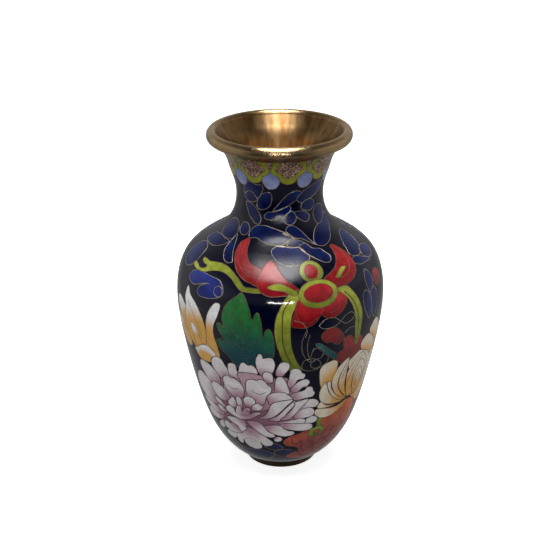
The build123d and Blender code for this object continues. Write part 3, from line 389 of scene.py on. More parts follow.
# (glaze piece, wire piece, paint, heart the paint runs out from, outlines), back of the design first
GROUPS = [
    ("navy_leaf", "navy_leaf", "navy", (-20, 0), NAVY),
    ("navy_leaf", "navy_leaf", "dull_teal", (-50, 0), [TEAL_LOW]),
    ("orange_flower", "orange_flower", "orange", (34, 4), ORANGE),
    ("blue_leaf", "blue_leaf", "blue", (0, 90), SHOULDER_BLUE),
    ("blue_leaf", "blue_leaf", "bright_blue", (-48, 90), [BRIGHT_FLOWER]),
    ("blue_leaf", "blue_leaf", "blue", (0, 120), NECK_BLUE),
    ("berry", "berry", "berry", (40, 60), BERRIES),
    ("green_leaf", "green_leaf", "teal", (30, 60), [TEAL_LEAF]),
    ("green_leaf", "green_leaf", "stalk", (28, 20), [CALYX_STEM, oval((26.5, 28.6), (6.6, 3.1))]),
    ("orange_flower", "orange_flower", "orange", (34, 4), [oval((27, 28.4), (2.6, 1.3))]),
    ("green_leaf", "green_leaf", "leaf", LEAF_HEART, GREEN_LEAF),
    ("lily", "lily", "lily", LILY_HEART, LILY),
    ("lime_ribbon", "ribbon", "lime", KNOT_HEART, KNOT_LIME[:1]),
    ("red_ribbon", "ribbon", "red", KNOT_HEART, KNOT_RED[:3]),
    ("lime_ribbon", "ribbon", "lime", KNOT_HEART, KNOT_LIME[1:]),
    ("red_ribbon", "ribbon", "red", KNOT_HEART, KNOT_RED[3:]),
    ("lime_ribbon", "ribbon", "lime", KNOT_HEART, [KNOT_TONGUE, KNOT_SPOT]),
    ("lime_ribbon", "ribbon", "lime", KNOT_HEART, [oval((20, 108.2), (7.8, 5.0))]),
    ("red_ribbon", "ribbon", "red", KNOT_HEART, [oval((20, 108.0), (4.5, 3.3))]),
    ("lime_ribbon", "ribbon", "lime", KNOT_HEART, [oval((21.6, 98.4), (11.8, 5.8))]),
    ("red_ribbon", "ribbon", "red", KNOT_HEART, [oval((21.6, 98.6), (8.6, 3.8))]),
    ("chrysanthemum", "chrysanthemum", "cream", CHRYSANTHEMUM_HEART, CHRYSANTHEMUM),
    ("peony", "peony", "peony_bed", PEONY_HEART, PEONY_BED),
    ("peony", "peony", "peony", PEONY_HEART, PEONY_BACK),
    ("peony", "peony", "peony_deep", PEONY_HEART, PEONY_FRONT[:1]),
    ("peony", "peony", "peony", PEONY_HEART, PEONY_FRONT[1:]),
]


# ------------------------------------------------------------------ wall of the vase
def natural_spline(points, steps):
    """Smooth curve through the points: natural cubic spline on chord length."""
    spots = np.array(points, float)
    gaps = np.hypot(*np.diff(spots, axis=0).T)
    knots = np.concatenate([[0.0], np.cumsum(gaps)])
    count = len(spots)
    system = np.zeros((count, count))
    target = np.zeros((count, 2))
    system[0, 0] = system[-1, -1] = 1.0
    for index in range(1, count - 1):
        before, after = gaps[index - 1], gaps[index]
        system[index, index - 1:index + 2] = before, 2 * (before + after), after
        rise_after = (spots[index + 1] - spots[index]) / after
        rise_before = (spots[index] - spots[index - 1]) / before
        target[index] = 6 * (rise_after - rise_before)
    bend = np.linalg.solve(system, target)
    places = np.linspace(0, knots[-1], steps)
    index = np.clip(np.searchsorted(knots, places, side="right") - 1, 0, count - 2)
    gap = gaps[index][:, None]
    ahead = (knots[index + 1] - places)[:, None]
    behind = (places - knots[index])[:, None]
    return (bend[index] * ahead ** 3 / (6 * gap) + bend[index + 1] * behind ** 3 / (6 * gap)
            + (spots[index] / gap - bend[index] * gap / 6) * ahead
            + (spots[index + 1] / gap - bend[index + 1] * gap / 6) * behind)


wall_curve = natural_spline(WALL, WALL_STEPS)
wall_walk = np.concatenate([[0.0], np.cumsum(np.hypot(*np.diff(wall_curve, axis=0).T))])
wall_slope = np.gradient(wall_curve, wall_walk, axis=0)
WALL_LENGTH = float(wall_walk[-1])


def on_wall(places, depth=0.0):
    """Points in metres for (degrees, rise) places, sunk by depth mm into the wall, and the normals there."""
    places = np.asarray(places, float)
    turn = np.radians(places[:, 0])
    rise = np.clip(places[:, 1], 0, WALL_LENGTH)
    radius = np.interp(rise, wall_walk, wall_curve[:, 0])
    height = np.interp(rise, wall_walk, wall_curve[:, 1])
    run_out = np.interp(rise, wall_walk, wall_slope[:, 0])
    run_up = np.interp(rise, wall_walk, wall_slope[:, 1])
    length = np.hypot(run_out, run_up)
    out, up = run_up / length, -run_out / length
    radius = radius - out * depth
    height = height - up * depth
    points = np.stack([radius * np.sin(turn), -radius * np.cos(turn), height], axis=1) * SCALE
    normals = np.stack([out * np.sin(turn), -out * np.cos(turn), up], axis=1)
    return points, normals


# ------------------------------------------------------------------ outlines to cells
def stretch(before, here, after, beyond, steps):
    """Points of a smooth curve from here towards after, with the places on either side of them."""
    points = []
    for step in range(steps):
        t = step / steps
        points.append(0.5 * (2 * here + (after - before) * t
                             + (2 * before - 5 * here + 4 * after - beyond) * t * t
                             + (3 * here - before - 3 * after + beyond) * t ** 3))
    return points


def rounded(outline):
    """Closed outline smoothed through its points, turning left."""
    spots = np.array(outline, float)
    onward = np.roll(spots, -1, axis=0)
    if np.sum(spots[:, 0] * onward[:, 1] - onward[:, 0] * spots[:, 1]) < 0:
        spots = spots[::-1]
    smooth = []
    for index in range(len(spots)):
        after, beyond = spots[(index + 1) % len(spots)], spots[(index + 2) % len(spots)]
        smooth.extend(stretch(spots[index - 1], spots[index], after, beyond, OUTLINE_STEPS))
    return np.array(smooth)


def inside(outline, places):
    """Which of the places lie inside a closed outline."""
    hit = np.zeros(len(places), bool)
    for start, end in zip(outline, np.roll(outline, -1, axis=0)):
        if start[1] == end[1]:
            continue
        crosses = (start[1] > places[:, 1]) != (end[1] > places[:, 1])
        where = (end[0] - start[0]) * (places[:, 1] - start[1]) / (end[1] - start[1]) + start[0]
        hit ^= crosses & (places[:, 0] < where)
    return hit


class Cell:
    """One enamel cell: its outline, its pieces and how its colour runs."""

    def __init__(self, glaze, wires, paint, heart, outline, turn=0.0):
        self.glaze = glaze
        self.wires = wires
        self.paint = paint
        self.outline = outline + np.array([turn, 0.0])
        self.heart = (heart[0] + turn, heart[1])
        reach = self.reach(self.outline)
        self.near, self.far = float(reach.min()), float(reach.max())

    def reach(self, places):
        """Distance of places from the heart of the flower."""
        return np.hypot((places[:, 0] - self.heart[0]) * DEGREE_MM, places[:, 1] - self.heart[1])

    def tone(self, places):
        """0 at the root of the petal, 1 at its tip, with a soft change between the two colours."""
        _, _, root_ends, tip_begins = PAINTS[self.paint]
        along = (self.reach(places) - self.near) / (self.far - self.near + 1e-6)
        share = np.clip((along - root_ends) / (tip_begins - root_ends), 0, 1)
        return share * share * (3 - 2 * share)


cells = []
for turn in (0.0, BACK_TURN):
    for glaze, wires, paint, heart, outlines in GROUPS:
        for outline in outlines:
            cells.append(Cell(glaze, wires, paint, heart, rounded(outline), turn))
for count in range(-1, LAPPET_COUNT):
    middle = LAPPET_START + SECTOR * (count - 2) + SECTOR / 2
    cells.append(Cell("scallop", "scallop", "lavender", BORDER_HEART, rounded(SCALLOP), middle))
    cells.append(Cell("lappet_heart", "lappet", "collar", BORDER_HEART, rounded(COLLAR_GAP), middle))
for count in range(LAPPET_COUNT):
    middle = LAPPET_START + SECTOR * (count - 2)
    cells.append(Cell("lappet_band", "lappet", "olive", BORDER_HEART, rounded(LAPPET_BAND), middle))
    cells.append(Cell("lappet_heart", "lappet", "brown", BORDER_HEART, rounded(LAPPET_HEART), middle))


# ------------------------------------------------------------------ divide the wall among the cells
def divided_wall():
    """Triangles of the unrolled wall, each with the cell that shows there (-1 for the ground)."""
    flat = np.array([DEGREE_MM, 1.0])
    turns = np.arange(SEAM, SEAM + 360 + 0.01, GRID_TURN)
    rises = np.linspace(0, WALL_LENGTH, int(WALL_LENGTH / GRID_RISE) + 1)
    places = [(turn, rise) for turn in turns for rise in rises]
    fine_turns = np.arange(SEAM + FINE_TURN / 2, SEAM + 360, FINE_TURN)
    fine_rises = np.arange(FLOWERS_LOW, FLOWERS_HIGH, FINE_RISE)
    places.extend((turn, rise) for turn in fine_turns for rise in fine_rises)
    right, top = SEAM + 360, WALL_LENGTH
    frame_corners = [(SEAM, 0.0), (right, 0.0), (right, top), (SEAM, top)]
    loops = [list(range(len(places), len(places) + 4))]
    places.extend(frame_corners)
    for cell in cells:
        loops.append(list(range(len(places), len(places) + len(cell.outline))))
        places.extend(map(tuple, cell.outline))
    flat_places = [Vector(place) for place in np.array(places) * flat]
    spots, _, triangles, _, _, owners = delaunay_2d_cdt(flat_places, [], loops, 0, 1e-5, True)
    shown = []
    for triangle, owner in zip(triangles, owners):
        if 0 in owner:
            shown.append((tuple(triangle), max(owner) - 1))
    return np.array([tuple(spot) for spot in spots]) / flat, shown


places, triangles = divided_wall()


# ------------------------------------------------------------------ mesh pieces
def smooth_object(name, points, faces, material):
    """A smoothly shaded mesh object in the scene."""
    mesh = bpy.data.meshes.new(name)
    mesh.from_pydata([tuple(point) for point in points], [], faces)
    mesh.materials.append(material)
    mesh.polygons.foreach_set("use_smooth", [True] * len(mesh.polygons))
    piece = bpy.data.objects.new(name, mesh)
    bpy.context.scene.collection.objects.link(piece)
    return piece


def new_piece(name, points, faces, normals, material, replaced):
    """A mesh object that rides on the vase and stands for CAD nodes."""
    piece = smooth_object(name, points, faces, material)
    piece.data.normals_split_custom_set(normals)
    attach(piece, "root")
    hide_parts(*replaced)
    return piece


def glaze_piece(name, owners, material, replaced):
    """Closed slab of fired enamel made of every wall triangle that its cells own."""
    mine = [(triangle, cell) for triangle, cell in triangles if cell in owners]
    used = sorted({spot for triangle, _ in mine for spot in triangle})
    number = {spot: index for index, spot in enumerate(used)}
    spots = places[used]
    top, top_normals = on_wall(spots)
    bottom, _ = on_wall(spots, ENAMEL_THICK)
    count = len(used)
    faces, normals, tones = [], [], []
    edges = {}
    for triangle, cell in mine:
        a, b, c = (number[spot] for spot in triangle)
        if np.dot(np.cross(top[b] - top[a], top[c] - top[a]), top_normals[a]) < 0:
            b, c = c, b
        faces.append((a, b, c))
        normals.extend(tuple(top_normals[corner]) for corner in (a, b, c))
        tone = cells[cell].tone(spots[[a, b, c]]) if cell >= 0 else np.zeros(3)
        tones.extend((cell, value) for value in tone)
        faces.append((a + count, c + count, b + count))
        normals.extend(tuple(-top_normals[corner]) for corner in (a, c, b))
        tones.extend((cell, value) for value in tone)
        for start, end in ((a, b), (b, c), (c, a)):
            edges[(start, end)] = cell
    for (start, end), cell in edges.items():
        if (end, start) in edges:
            continue
        faces.append((end, start, start + count, end + count))
        along = top[end] - top[start]
        side = np.cross(along, top_normals[start])
        side = side / (np.linalg.norm(side) + 1e-12)
        normals.extend([tuple(side)] * 4)
        tones.extend([(cell, 0.5)] * 4)
    piece = new_piece(name, np.concatenate([top, bottom]), faces, normals, material, replaced)
    colours = piece.data.color_attributes.new("glaze", "FLOAT_COLOR", "CORNER")
    values = []
    for cell, tone in tones:
        tip, root, _, _ = PAINTS[cells[cell].paint if cell >= 0 else "ground"]
        values.extend(root[channel] + (tip[channel] - root[channel]) * tone for channel in range(3))
        values.append(tone)
    colours.data.foreach_set("color", values)
    return piece


def ribbon(line, closed, width):
    """Points, faces and normals of a flat wire set on edge along a line on the wall."""
    spots, out = on_wall(line)
    count = len(line)
    ahead = np.roll(spots, -1, axis=0) - np.roll(spots, 1, axis=0)
    if not closed:
        ahead[0] = spots[1] - spots[0]
        ahead[-1] = spots[-1] - spots[-2]
    ahead = ahead / (np.linalg.norm(ahead, axis=1)[:, None] + 1e-12)
    across = np.cross(out, ahead)
    half = width / 2 * SCALE
    rails = [
        (spots - across * half - out * WIRE_DEEP * SCALE, -across),
        (spots - across * half + out * WIRE_PROUD * WIRE_SHOULDER * SCALE, out - across * SHOULDER_LEAN),
        (spots + out * WIRE_PROUD * SCALE, out),
        (spots + across * half + out * WIRE_PROUD * WIRE_SHOULDER * SCALE, out + across * SHOULDER_LEAN),
        (spots + across * half - out * WIRE_DEEP * SCALE, across),
    ]
    sides = len(rails)
    points = np.concatenate([rail for rail, _ in rails])
    aims = np.concatenate([aim / np.linalg.norm(aim, axis=1)[:, None] for _, aim in rails])
    faces = []
    last = count if closed else count - 1
    for step in range(last):
        onward = (step + 1) % count
        for rail in range(sides):
            beside = (rail + 1) % sides
            faces.append((rail * count + step, rail * count + onward,
                          beside * count + onward, beside * count + step))
    if not closed:
        faces.append(tuple(rail * count for rail in range(sides)))
        faces.append(tuple(rail * count + count - 1 for rail in reversed(range(sides))))
    return points, faces, aims


def shown_runs(line, covers, closed):
    """Stretches of a line that no cell in front covers, as (places, closed) pairs."""
    hidden = (line[:, 0] < SEAM) | (line[:, 0] > SEAM + 360)
    low, high = line.min(axis=0), line.max(axis=0)
    for cover in covers:
        if (cover.outline.max(axis=0) < low).any() or (cover.outline.min(axis=0) > high).any():
            continue
        hidden |= inside(cover.outline, line)
    if not hidden.any():
        return [(line, closed)]
    if hidden.all():
        return []
    if closed:
        shift = int(np.argmax(hidden))
        line, hidden = np.roll(line, -shift, axis=0), np.roll(hidden, -shift)
    runs, start = [], None
    for index, covered in enumerate(list(hidden) + [True]):
        if not covered and start is None:
            start = index
        if covered and start is not None:
            if index - start > 1:
                runs.append((line[max(start - 1, 0):index + 1], False))
            start = None
    return runs


def smooth_line(points):
    """Open line smoothed through its points."""
    spots = np.array([points[0]] + list(points) + [points[-1]], float)
    smooth = []
    for around in zip(spots, spots[1:], spots[2:], spots[3:]):
        smooth.extend(stretch(*around, LINE_STEPS))
    smooth.append(spots[-1])
    return np.array(smooth)


# ------------------------------------------------------------------ open wires drawn inside the cells
# (wire piece, paint of the cells they lie on, share of a wire's width, lines); later cells cover them
LEAF_VEINS = [
    [(-21.5, 96), (-21, 88), (-20.4, 80), (-19.6, 72), (-18, 67)],
    [(-20.8, 84), (-25, 88), (-28.6, 90)],
    [(-20.6, 78), (-26, 82.4), (-30, 84)],
    [(-20.2, 74), (-26, 76.6), (-32, 76)],
    [(-20.8, 86), (-17.4, 90)],
    [(-20.4, 79), (-16, 84), (-12.6, 88)],
    [(-20, 74), (-14, 78), (-8, 82)],
    [(-19.6, 70), (-12, 72), (-5.6, 74)],
]
CRESCENT_LINES = [
    [(-37, 120.4), (-34.6, 116.4), (-30.6, 112), (-25.4, 108.4), (-19, 105.6)],
    [(-34.6, 122.4), (-32.6, 117.6), (-29, 113.6), (-24, 110.6), (-17, 108.6)],
    [(50.4, 116.4), (51.6, 112), (49.6, 107.4), (45, 104), (38, 102.4)],
    [(34.6, 96.4), (35.4, 93.2), (32, 90.6), (26.6, 89.6)],
    [(8.6, 94.6), (8.4, 90.4), (11, 87.4), (16, 87), (20, 89)],
]
RIBBON_LINES = [
    [(5.4, 97), (1.6, 92.6), (0.9, 86), (1.2, 79), (3.6, 72), (8, 66)],
    [(37.4, 97), (41.6, 93.4), (45, 88), (46.4, 82), (46, 77)],
]
BLUE_FLOWER_LINES = [
    [(-50, 98), (-46.6, 98.9), (-43.4, 99.2)],
    [(-33.6, 97.4), (-35, 99.2), (-37.6, 99.4), (-39.4, 97.8), (-38.6, 95.8), (-36, 95.2), (-34, 96),
     (-33.6, 97.4)],
]
CHRYSANTHEMUM_LINES = [
    [(53.4, 51), (54, 52.6), (55.6, 52.8), (56.6, 51.2), (55.6, 49.6), (53.6, 49.2), (52, 50.4)],
    [(44.6, 52), (47, 57.4), (51, 61), (55.6, 62.4)],
    [(39.4, 55), (41, 60), (43, 62.6)],
]
ORANGE_LINES = [
    [(8, 27), (8.6, 23.6), (12.4, 22), (16, 24.4)],
    [(16, 24.4), (17.4, 21), (21.6, 20.2), (24.6, 23)],
    [(24.6, 23), (27.4, 20.2), (31.6, 20.6), (33.6, 24)],
    [(33.6, 24), (37, 22), (41, 23.6), (41, 28)],
    [(41, 28), (45.6, 27.4), (48.6, 30.4), (46, 34)],
    [(6, 20.8), (9, 17.6), (13.6, 17.6), (16.6, 21)],
    [(16.6, 21), (19, 16), (23.6, 15.2), (27, 19.6)],
    [(27, 19.6), (30.6, 15), (35.6, 15.8), (38, 21.6)],
    [(38, 21.6), (43, 18.4), (48.2, 21), (48.6, 27)],
    [(48.6, 27), (53.6, 26.8), (56.4, 31), (54, 35)],
    [(14.6, 16.4), (19, 12), (25, 11.6), (28.6, 15.6)],
    [(28.6, 15.6), (33.4, 11.6), (39.4, 12.8), (42.6, 18.4)],
    [(42.6, 18.4), (49, 15.4), (54.4, 19.4), (53.6, 25.6)],
]
ORANGE_STEM = [
    [(31, 31.5), (40, 33.6), (50, 36.4), (57, 38)],
    [(31, 30), (41, 31.8), (51, 34.6), (58, 36.6)],
]
SCROLLS = [
    [(20.4, 85), (24, 87.2), (29, 87.4), (33, 85.4), (36.6, 83.4), (41, 84), (43, 86), (40.4, 87.6),
     (36, 86.6), (32.6, 84.4), (28, 83.2), (23, 83.4), (20.4, 85)],
    [(13.6, 83.4), (11.4, 79), (11.6, 74), (14, 70), (17, 68.4), (15, 72), (14.2, 77), (15.6, 81.6)],
    [(16.4, 71), (17.6, 74), (21, 75), (24, 73), (22.6, 70), (19, 69), (16.6, 67.4), (18, 65.2), (22.4, 65),
     (26.4, 67), (27, 70)],
    [(11.6, 67), (13, 69.4), (17, 70), (21, 68.8), (22.8, 66.4), (20.6, 64.4), (16, 64), (12.4, 65),
     (11.6, 67)],
    [(7.2, 88.6), (12, 86.6), (14, 83.4), (13, 80.4)],
    [(36.4, 79), (40, 80.6), (44, 80), (45.6, 77.4)],
]
SOLDER_SPOTS = [
    [(-2.8, 121.7), (1, 121.4), (4.6, 121.2)],
    [(3.4, 127.2), (9, 126), (15.2, 124.5)],
    [(18, 120), (21.2, 117.6)],
]
PEONY_LINES = [
    [(-34, 54), (-30, 52.6), (-26, 53.4)],
    [(-18, 53.6), (-13, 52), (-9, 53.4)],
    [(-33, 39.4), (-27, 38.6), (-20, 39.8)],
    [(-30, 23), (-24, 25), (-19, 23)],
]
LILY_LINES = [
    [(-49, 71), (-46, 71.4), (-43, 71), (-40, 69.4)],
    [(-60, 88), (-55, 84), (-50.6, 79), (-47.6, 74)],
]
OPEN_WIRES = [
    ("green_leaf", "leaf", 0.55, LEAF_VEINS),
    ("ribbon", "red", 0.8, CRESCENT_LINES),
    ("ribbon", "red", 1.7, RIBBON_LINES),
    ("blue_leaf", "bright_blue", 0.9, BLUE_FLOWER_LINES),
    ("blue_leaf", "peony", 2.2, SOLDER_SPOTS),
    ("orange_flower", "orange", 1.1, ORANGE_LINES),
    ("blue_leaf", "orange", 0.9, ORANGE_STEM),
    ("chrysanthemum", "cream", 0.8, CHRYSANTHEMUM_LINES),
    ("peony", "peony", 0.8, PEONY_LINES),
    ("lily", "lily", 0.8, LILY_LINES),
    ("blue_leaf", "peony", 0.9, SCROLLS),
]
# spirals that fill each lappet, in degrees from its middle and rise
LAPPET_CURLS = [
    [(-12, 157.4), (-9.6, 159), (-6.4, 158.4), (-6, 156.2), (-8.4, 155), (-10, 156.6), (-8.4, 157.6)],
    [(0, 153), (-3.6, 153.6), (-4, 156), (-1.2, 157.2), (0.8, 155.8), (-0.8, 154.6)],
    [(3.2, 158.6), (2, 156.6), (3.8, 154.4), (6.6, 155), (6.8, 157), (5, 157.6)],
    [(12.4, 157.4), (10.8, 159.2), (8.4, 158.6), (8.6, 156.8), (10.6, 156.4)],
    [(-2, 159.4), (0, 158.6), (2, 159.4)],
]


def cells_through(paint):
    """How many of the front half's cells come before or with the last group of that paint."""
    last = max(number for number, group in enumerate(GROUPS) if group[2] == paint)
    return sum(len(outlines) for _, _, _, _, outlines in GROUPS[:last + 1])


WIDE_WIRES = {"peony": 1.3, "chrysanthemum": 1.15}
CURL_SHARE = 0.8
FRONT_COUNT = sum(len(outlines) for _, _, _, _, outlines in GROUPS)
wire_runs = {}
for index, cell in enumerate(cells):
    covers = cells[index + 1:]
    width = WIRE_WIDTH * WIDE_WIRES.get(cell.wires, 1.0)
    for run, closed in shown_runs(cell.outline, covers, True):
        wire_runs.setdefault(cell.wires, []).append((run, closed, width))
for turn, offset in ((0.0, 0), (BACK_TURN, FRONT_COUNT)):
    for wires, paint, share, lines in OPEN_WIRES:
        covers = cells[offset + cells_through(paint):]
        for line in lines:
            drawn = smooth_line(line) + np.array([turn, 0.0])
            for run, closed in shown_runs(drawn, covers, False):
                wire_runs[wires].append((run, closed, WIRE_WIDTH * share))
for count in range(LAPPET_COUNT):
    middle = LAPPET_START + SECTOR * (count - 2)
    for line in LAPPET_CURLS:
        drawn = smooth_line(line) + np.array([middle, 0.0])
        wire_runs["lappet"].append((drawn, False, WIRE_WIDTH * CURL_SHARE))


def wire_piece(name, runs, material, replaced):
    """All the wires of one motif in one mesh."""
    points, faces, normals = [], [], []
    first = 0
    for line, closed, width in runs:
        line = line[line[:, 1] < WALL_LENGTH + 1.0]
        if len(line) < 2:
            continue
        strip_points, strip_faces, aims = ribbon(line, closed, width)
        points.append(strip_points)
        for face in strip_faces:
            faces.append(tuple(first + corner for corner in face))
            normals.extend(tuple(aims[corner]) for corner in face)
        first += len(strip_points)
    return new_piece(name, np.concatenate(points), faces, normals, material, replaced)


# ------------------------------------------------------------------ materials
class Nodes:
    """A node tree being wired up."""

    def __init__(self, tree, coordinates):
        self.tree = tree
        self.where = self.node("ShaderNodeTexCoord").outputs[coordinates]

    def node(self, kind, inputs=None, **settings):
        """A new node; each input is given a number, a colour or the output of another node."""
        made = self.tree.nodes.new(kind)
        for key, value in settings.items():
            setattr(made, key, value)
        for socket, value in (inputs or {}).items():
            if isinstance(value, bpy.types.NodeSocket):
                self.tree.links.new(value, made.inputs[socket])
            elif isinstance(value, tuple):
                made.inputs[socket].default_value = (*value, 1.0)
            else:
                made.inputs[socket].default_value = value
        return made

    def axes(self):
        return self.node("ShaderNodeSeparateXYZ", {"Vector": self.where}).outputs

    def vector(self, x, y, z):
        return self.node("ShaderNodeCombineXYZ", {"X": x, "Y": y, "Z": z}).outputs["Vector"]

    def noise(self, scale, detail=3.0, rough=0.55, vector=None):
        inputs = {"Scale": scale, "Detail": detail, "Roughness": rough, "Vector": vector or self.where}
        return self.node("ShaderNodeTexNoise", inputs).outputs["Fac"]

    def specks(self, scale):
        return self.node("ShaderNodeTexVoronoi", {"Scale": scale, "Vector": self.where}).outputs["Distance"]

    def remap(self, value, low, high, to_low, to_high, **settings):
        inputs = {"Value": value, "From Min": low, "From Max": high, "To Min": to_low, "To Max": to_high}
        return self.node("ShaderNodeMapRange", inputs, **settings).outputs["Result"]

    def mix(self, factor, first, second, blend="MIX"):
        inputs = {"Factor": factor, 6: first, 7: second}
        return self.node("ShaderNodeMix", inputs, data_type="RGBA", blend_type=blend).outputs[2]

    def math(self, operation, first, second=0.0):
        return self.node("ShaderNodeMath", {0: first, 1: second}, operation=operation).outputs[0]

    def add(self, first, second):
        return self.math("ADD", first, second)

    def times(self, first, second):
        return self.math("MULTIPLY", first, second)


class Look(Nodes):
    """A material being wired up from nodes."""

    def __init__(self, name):
        self.material = bpy.data.materials.new(name)
        self.material.use_nodes = True
        super().__init__(self.material.node_tree, "Object")
        self.shader = self.tree.nodes["Principled BSDF"]

    def feed(self, **sources):
        """Outputs of nodes into sockets of the shader."""
        for key, source in sources.items():
            self.tree.links.new(source, self.shader.inputs[key.replace("_", " ")])

    def bump(self, height, distance):
        inputs = {"Distance": distance, "Strength": 1.0, "Height": height}
        self.feed(Normal=self.node("ShaderNodeBump", inputs).outputs["Normal"])

    def set(self, **values):
        for key, value in values.items():
            self.shader.inputs[key.replace("_", " ")].default_value = value


# Heights in metres between which the worn glaze begins and ends, and radii where the staining and painted
# shade in the mouth end
WEAR_BEGINS = (0.093, 0.099)
WEAR_ENDS = (0.118, 0.124)
STAIN_AND_SHADE_ENDS = (0.0258, 0.0272)
PALE_FRIT = (0.72, 0.66, 0.66)
DARK_PIT = (0.02, 0.014, 0.016)
CURL_COPPER = (0.60, 0.42, 0.32)
RIM_BRIGHT = (0.60, 0.42, 0.22)
RIM_DULL = (0.26, 0.15, 0.075)
# the brown inside the mouth is partly staining and partly painted shade in the hollow of the funnel
FUNNEL_STAIN_AND_SHADE = (0.25, 0.125, 0.040)


def shoulder_wear(look):
    """1 on the shoulder and low neck, where dust and handling have pitted the glaze, and 0 elsewhere."""
    _, _, height = look.axes()
    return look.times(look.remap(height, *WEAR_BEGINS, 0.0, 1.0), look.remap(height, *WEAR_ENDS, 1.0, 0.0))


def fine_spirals(look, toned):
    """Short curled wires packed into a cell, too small to be bent one by one."""
    curls = look.times(look.noise(520, 1.0, 0.4), 5.0)
    line = look.remap(look.math("PINGPONG", curls, 0.5), 0.07, 0.20, 0.9, 0.0)
    return look.mix(line, toned, CURL_COPPER)


def enamel_look(name, light_specks, dark_specks, mottle, grain):
    """Polished glass enamel: colour from the cell, cloudy patches, grains of frit and tiny pits."""
    look = Look(name + "_enamel_look")
    glaze = look.node("ShaderNodeAttribute", attribute_name="glaze").outputs["Color"]
    cloud = look.remap(look.noise(260, 4.0), 0.3, 0.7, 1 - mottle, 1 + mottle)
    fine = look.remap(look.noise(2600, 2.0, 0.7), 0.25, 0.75, 1 - grain, 1 + grain)
    product = look.times(cloud, fine)
    shade = look.node("ShaderNodeCombineColor", dict.fromkeys(("Red", "Green", "Blue"), product))
    toned = look.mix(1.0, glaze, shade.outputs["Color"], "MULTIPLY")
    pale = look.remap(look.noise(2100, 2.0, 0.8), 0.60, 0.74, 0.0, light_specks)
    toned = look.mix(pale, toned, PALE_FRIT)
    pits = look.remap(look.specks(560), 0.03, 0.085, dark_specks, 0.0)
    toned = look.mix(pits, toned, DARK_PIT)
    if name == "spirals":
        toned = fine_spirals(look, toned)
    worn = shoulder_wear(look)
    polish = look.remap(look.noise(700, 3.0), 0.35, 0.7, 0.04, 0.11)
    look.feed(Base_Color=toned, Roughness=look.add(polish, look.times(worn, 0.13)))
    wave = look.add(look.noise(110, 2.0), look.times(look.noise(900, 3.0), 0.12))
    pitting = look.times(look.times(look.noise(1700, 3.0, 0.7), worn), 0.55)
    look.bump(look.add(wave, pitting), 0.00010)
    look.set(IOR=1.5, Specular_IOR_Level=0.5)
    return look.material


def from_axis(look):
    """Coordinates of a surface point, and its distance from the axis of the vase."""
    x, y, z = look.axes()
    return x, y, z, look.math("SQRT", look.add(look.times(x, x), look.times(y, y)))


def turned_lines(look):
    """Fine rings left by the lathe, as a noise squeezed along the height and the radius."""
    x, y, z, radius = from_axis(look)
    around = look.times(look.math("ARCTAN2", x, y), 0.06)
    return look.noise(40, 3.0, 0.7, look.vector(look.times(radius, 70.0), look.times(z, 70.0), around))


def dented(look, lines, depth):
    """Turned lines and shallow dents in the surface of spun metal."""
    look.bump(look.add(lines, look.times(look.noise(300, 3.0), 0.9)), depth)


def metal_look(name, colour, dark, rough_low, rough_high, tarnish_share):
    """Spun and polished metal: turning lines round the axis, tarnish patches, dents and dark spots."""
    look = Look(name)
    lines = turned_lines(look)
    tarnish = look.remap(look.noise(120, 6.0, 0.7), 0.45, 0.75, 0.0, tarnish_share)
    brushed = look.remap(lines, 0.3, 0.7, 0.0, 0.3)
    toned = look.mix(tarnish, colour, dark)
    toned = look.mix(brushed, toned, tuple(0.75 * channel for channel in colour))
    toned = look.mix(look.remap(look.specks(330), 0.02, 0.06, 0.75, 0.0), toned, dark)
    worn = look.remap(look.noise(200, 5.0, 0.65), 0.3, 0.7, rough_low, rough_high)
    look.feed(Base_Color=toned, Roughness=worn)
    dented(look, lines, 0.00003)
    look.set(Metallic=1.0)
    return look.material


def funnel_streaks(look, toned):
    """Brown staining and painted shade inside the mouth, parted by streaks that run down the metal."""
    x, y, z, radius = from_axis(look)
    side, front = look.math("DIVIDE", x, radius), look.math("DIVIDE", y, radius)
    streaks = look.noise(9, 4.0, 0.62, look.vector(side, front, look.times(z, 12.0)))
    stain_and_shade = look.remap(streaks, 0.36, 0.64, 0.45, 1.0)
    inside_mouth = look.remap(radius, *STAIN_AND_SHADE_ENDS, 1.0, 0.0)
    return look.mix(look.times(stain_and_shade, inside_mouth), toned, FUNNEL_STAIN_AND_SHADE), inside_mouth


def rim_look():
    """Brass rim: turned and rubbed bright on the roll, brushed inside and darkened brown there by staining
    and painted shade.
    """
    look = Look("rim_brass_look")
    lines = turned_lines(look)
    tarnish = look.remap(look.noise(150, 6.0, 0.7), 0.40, 0.72, 0.0, 0.55)
    toned = look.mix(tarnish, RIM_BRIGHT, RIM_DULL)
    toned, inside_mouth = funnel_streaks(look, toned)
    toned = look.mix(look.remap(look.specks(330), 0.02, 0.06, 0.6, 0.0), toned, RIM_DULL)
    worn = look.remap(look.noise(200, 5.0, 0.65), 0.3, 0.7, 0.20, 0.32)
    grooves = look.node("ShaderNodeTangent", direction_type="RADIAL", axis="Z").outputs["Tangent"]
    look.feed(Base_Color=toned, Roughness=look.add(worn, look.times(inside_mouth, 0.08)), Tangent=grooves)
    dented(look, lines, 0.00002)
    look.set(Metallic=1.0, Anisotropic=0.75, Anisotropic_Rotation=0.25)
    return look.material


def wire_look(name, bright, dull, dull_share, metallic=0.85):
    """Bent copper wire, bright where the last polish reached it and dull elsewhere."""
    look = Look(name + "_wire")
    patches = look.remap(look.noise(240, 4.0, 0.6), 0.36, 0.64, dull_share - 0.35, dull_share + 0.35)
    rubbed = look.remap(look.noise(1600, 2.0), 0.3, 0.7, 0.28, 0.5)
    look.feed(Base_Color=look.mix(patches, bright, dull), Roughness=rubbed)
    look.bump(look.noise(2400, 2.0), 0.00002)
    look.set(Metallic=metallic)
    return look.material


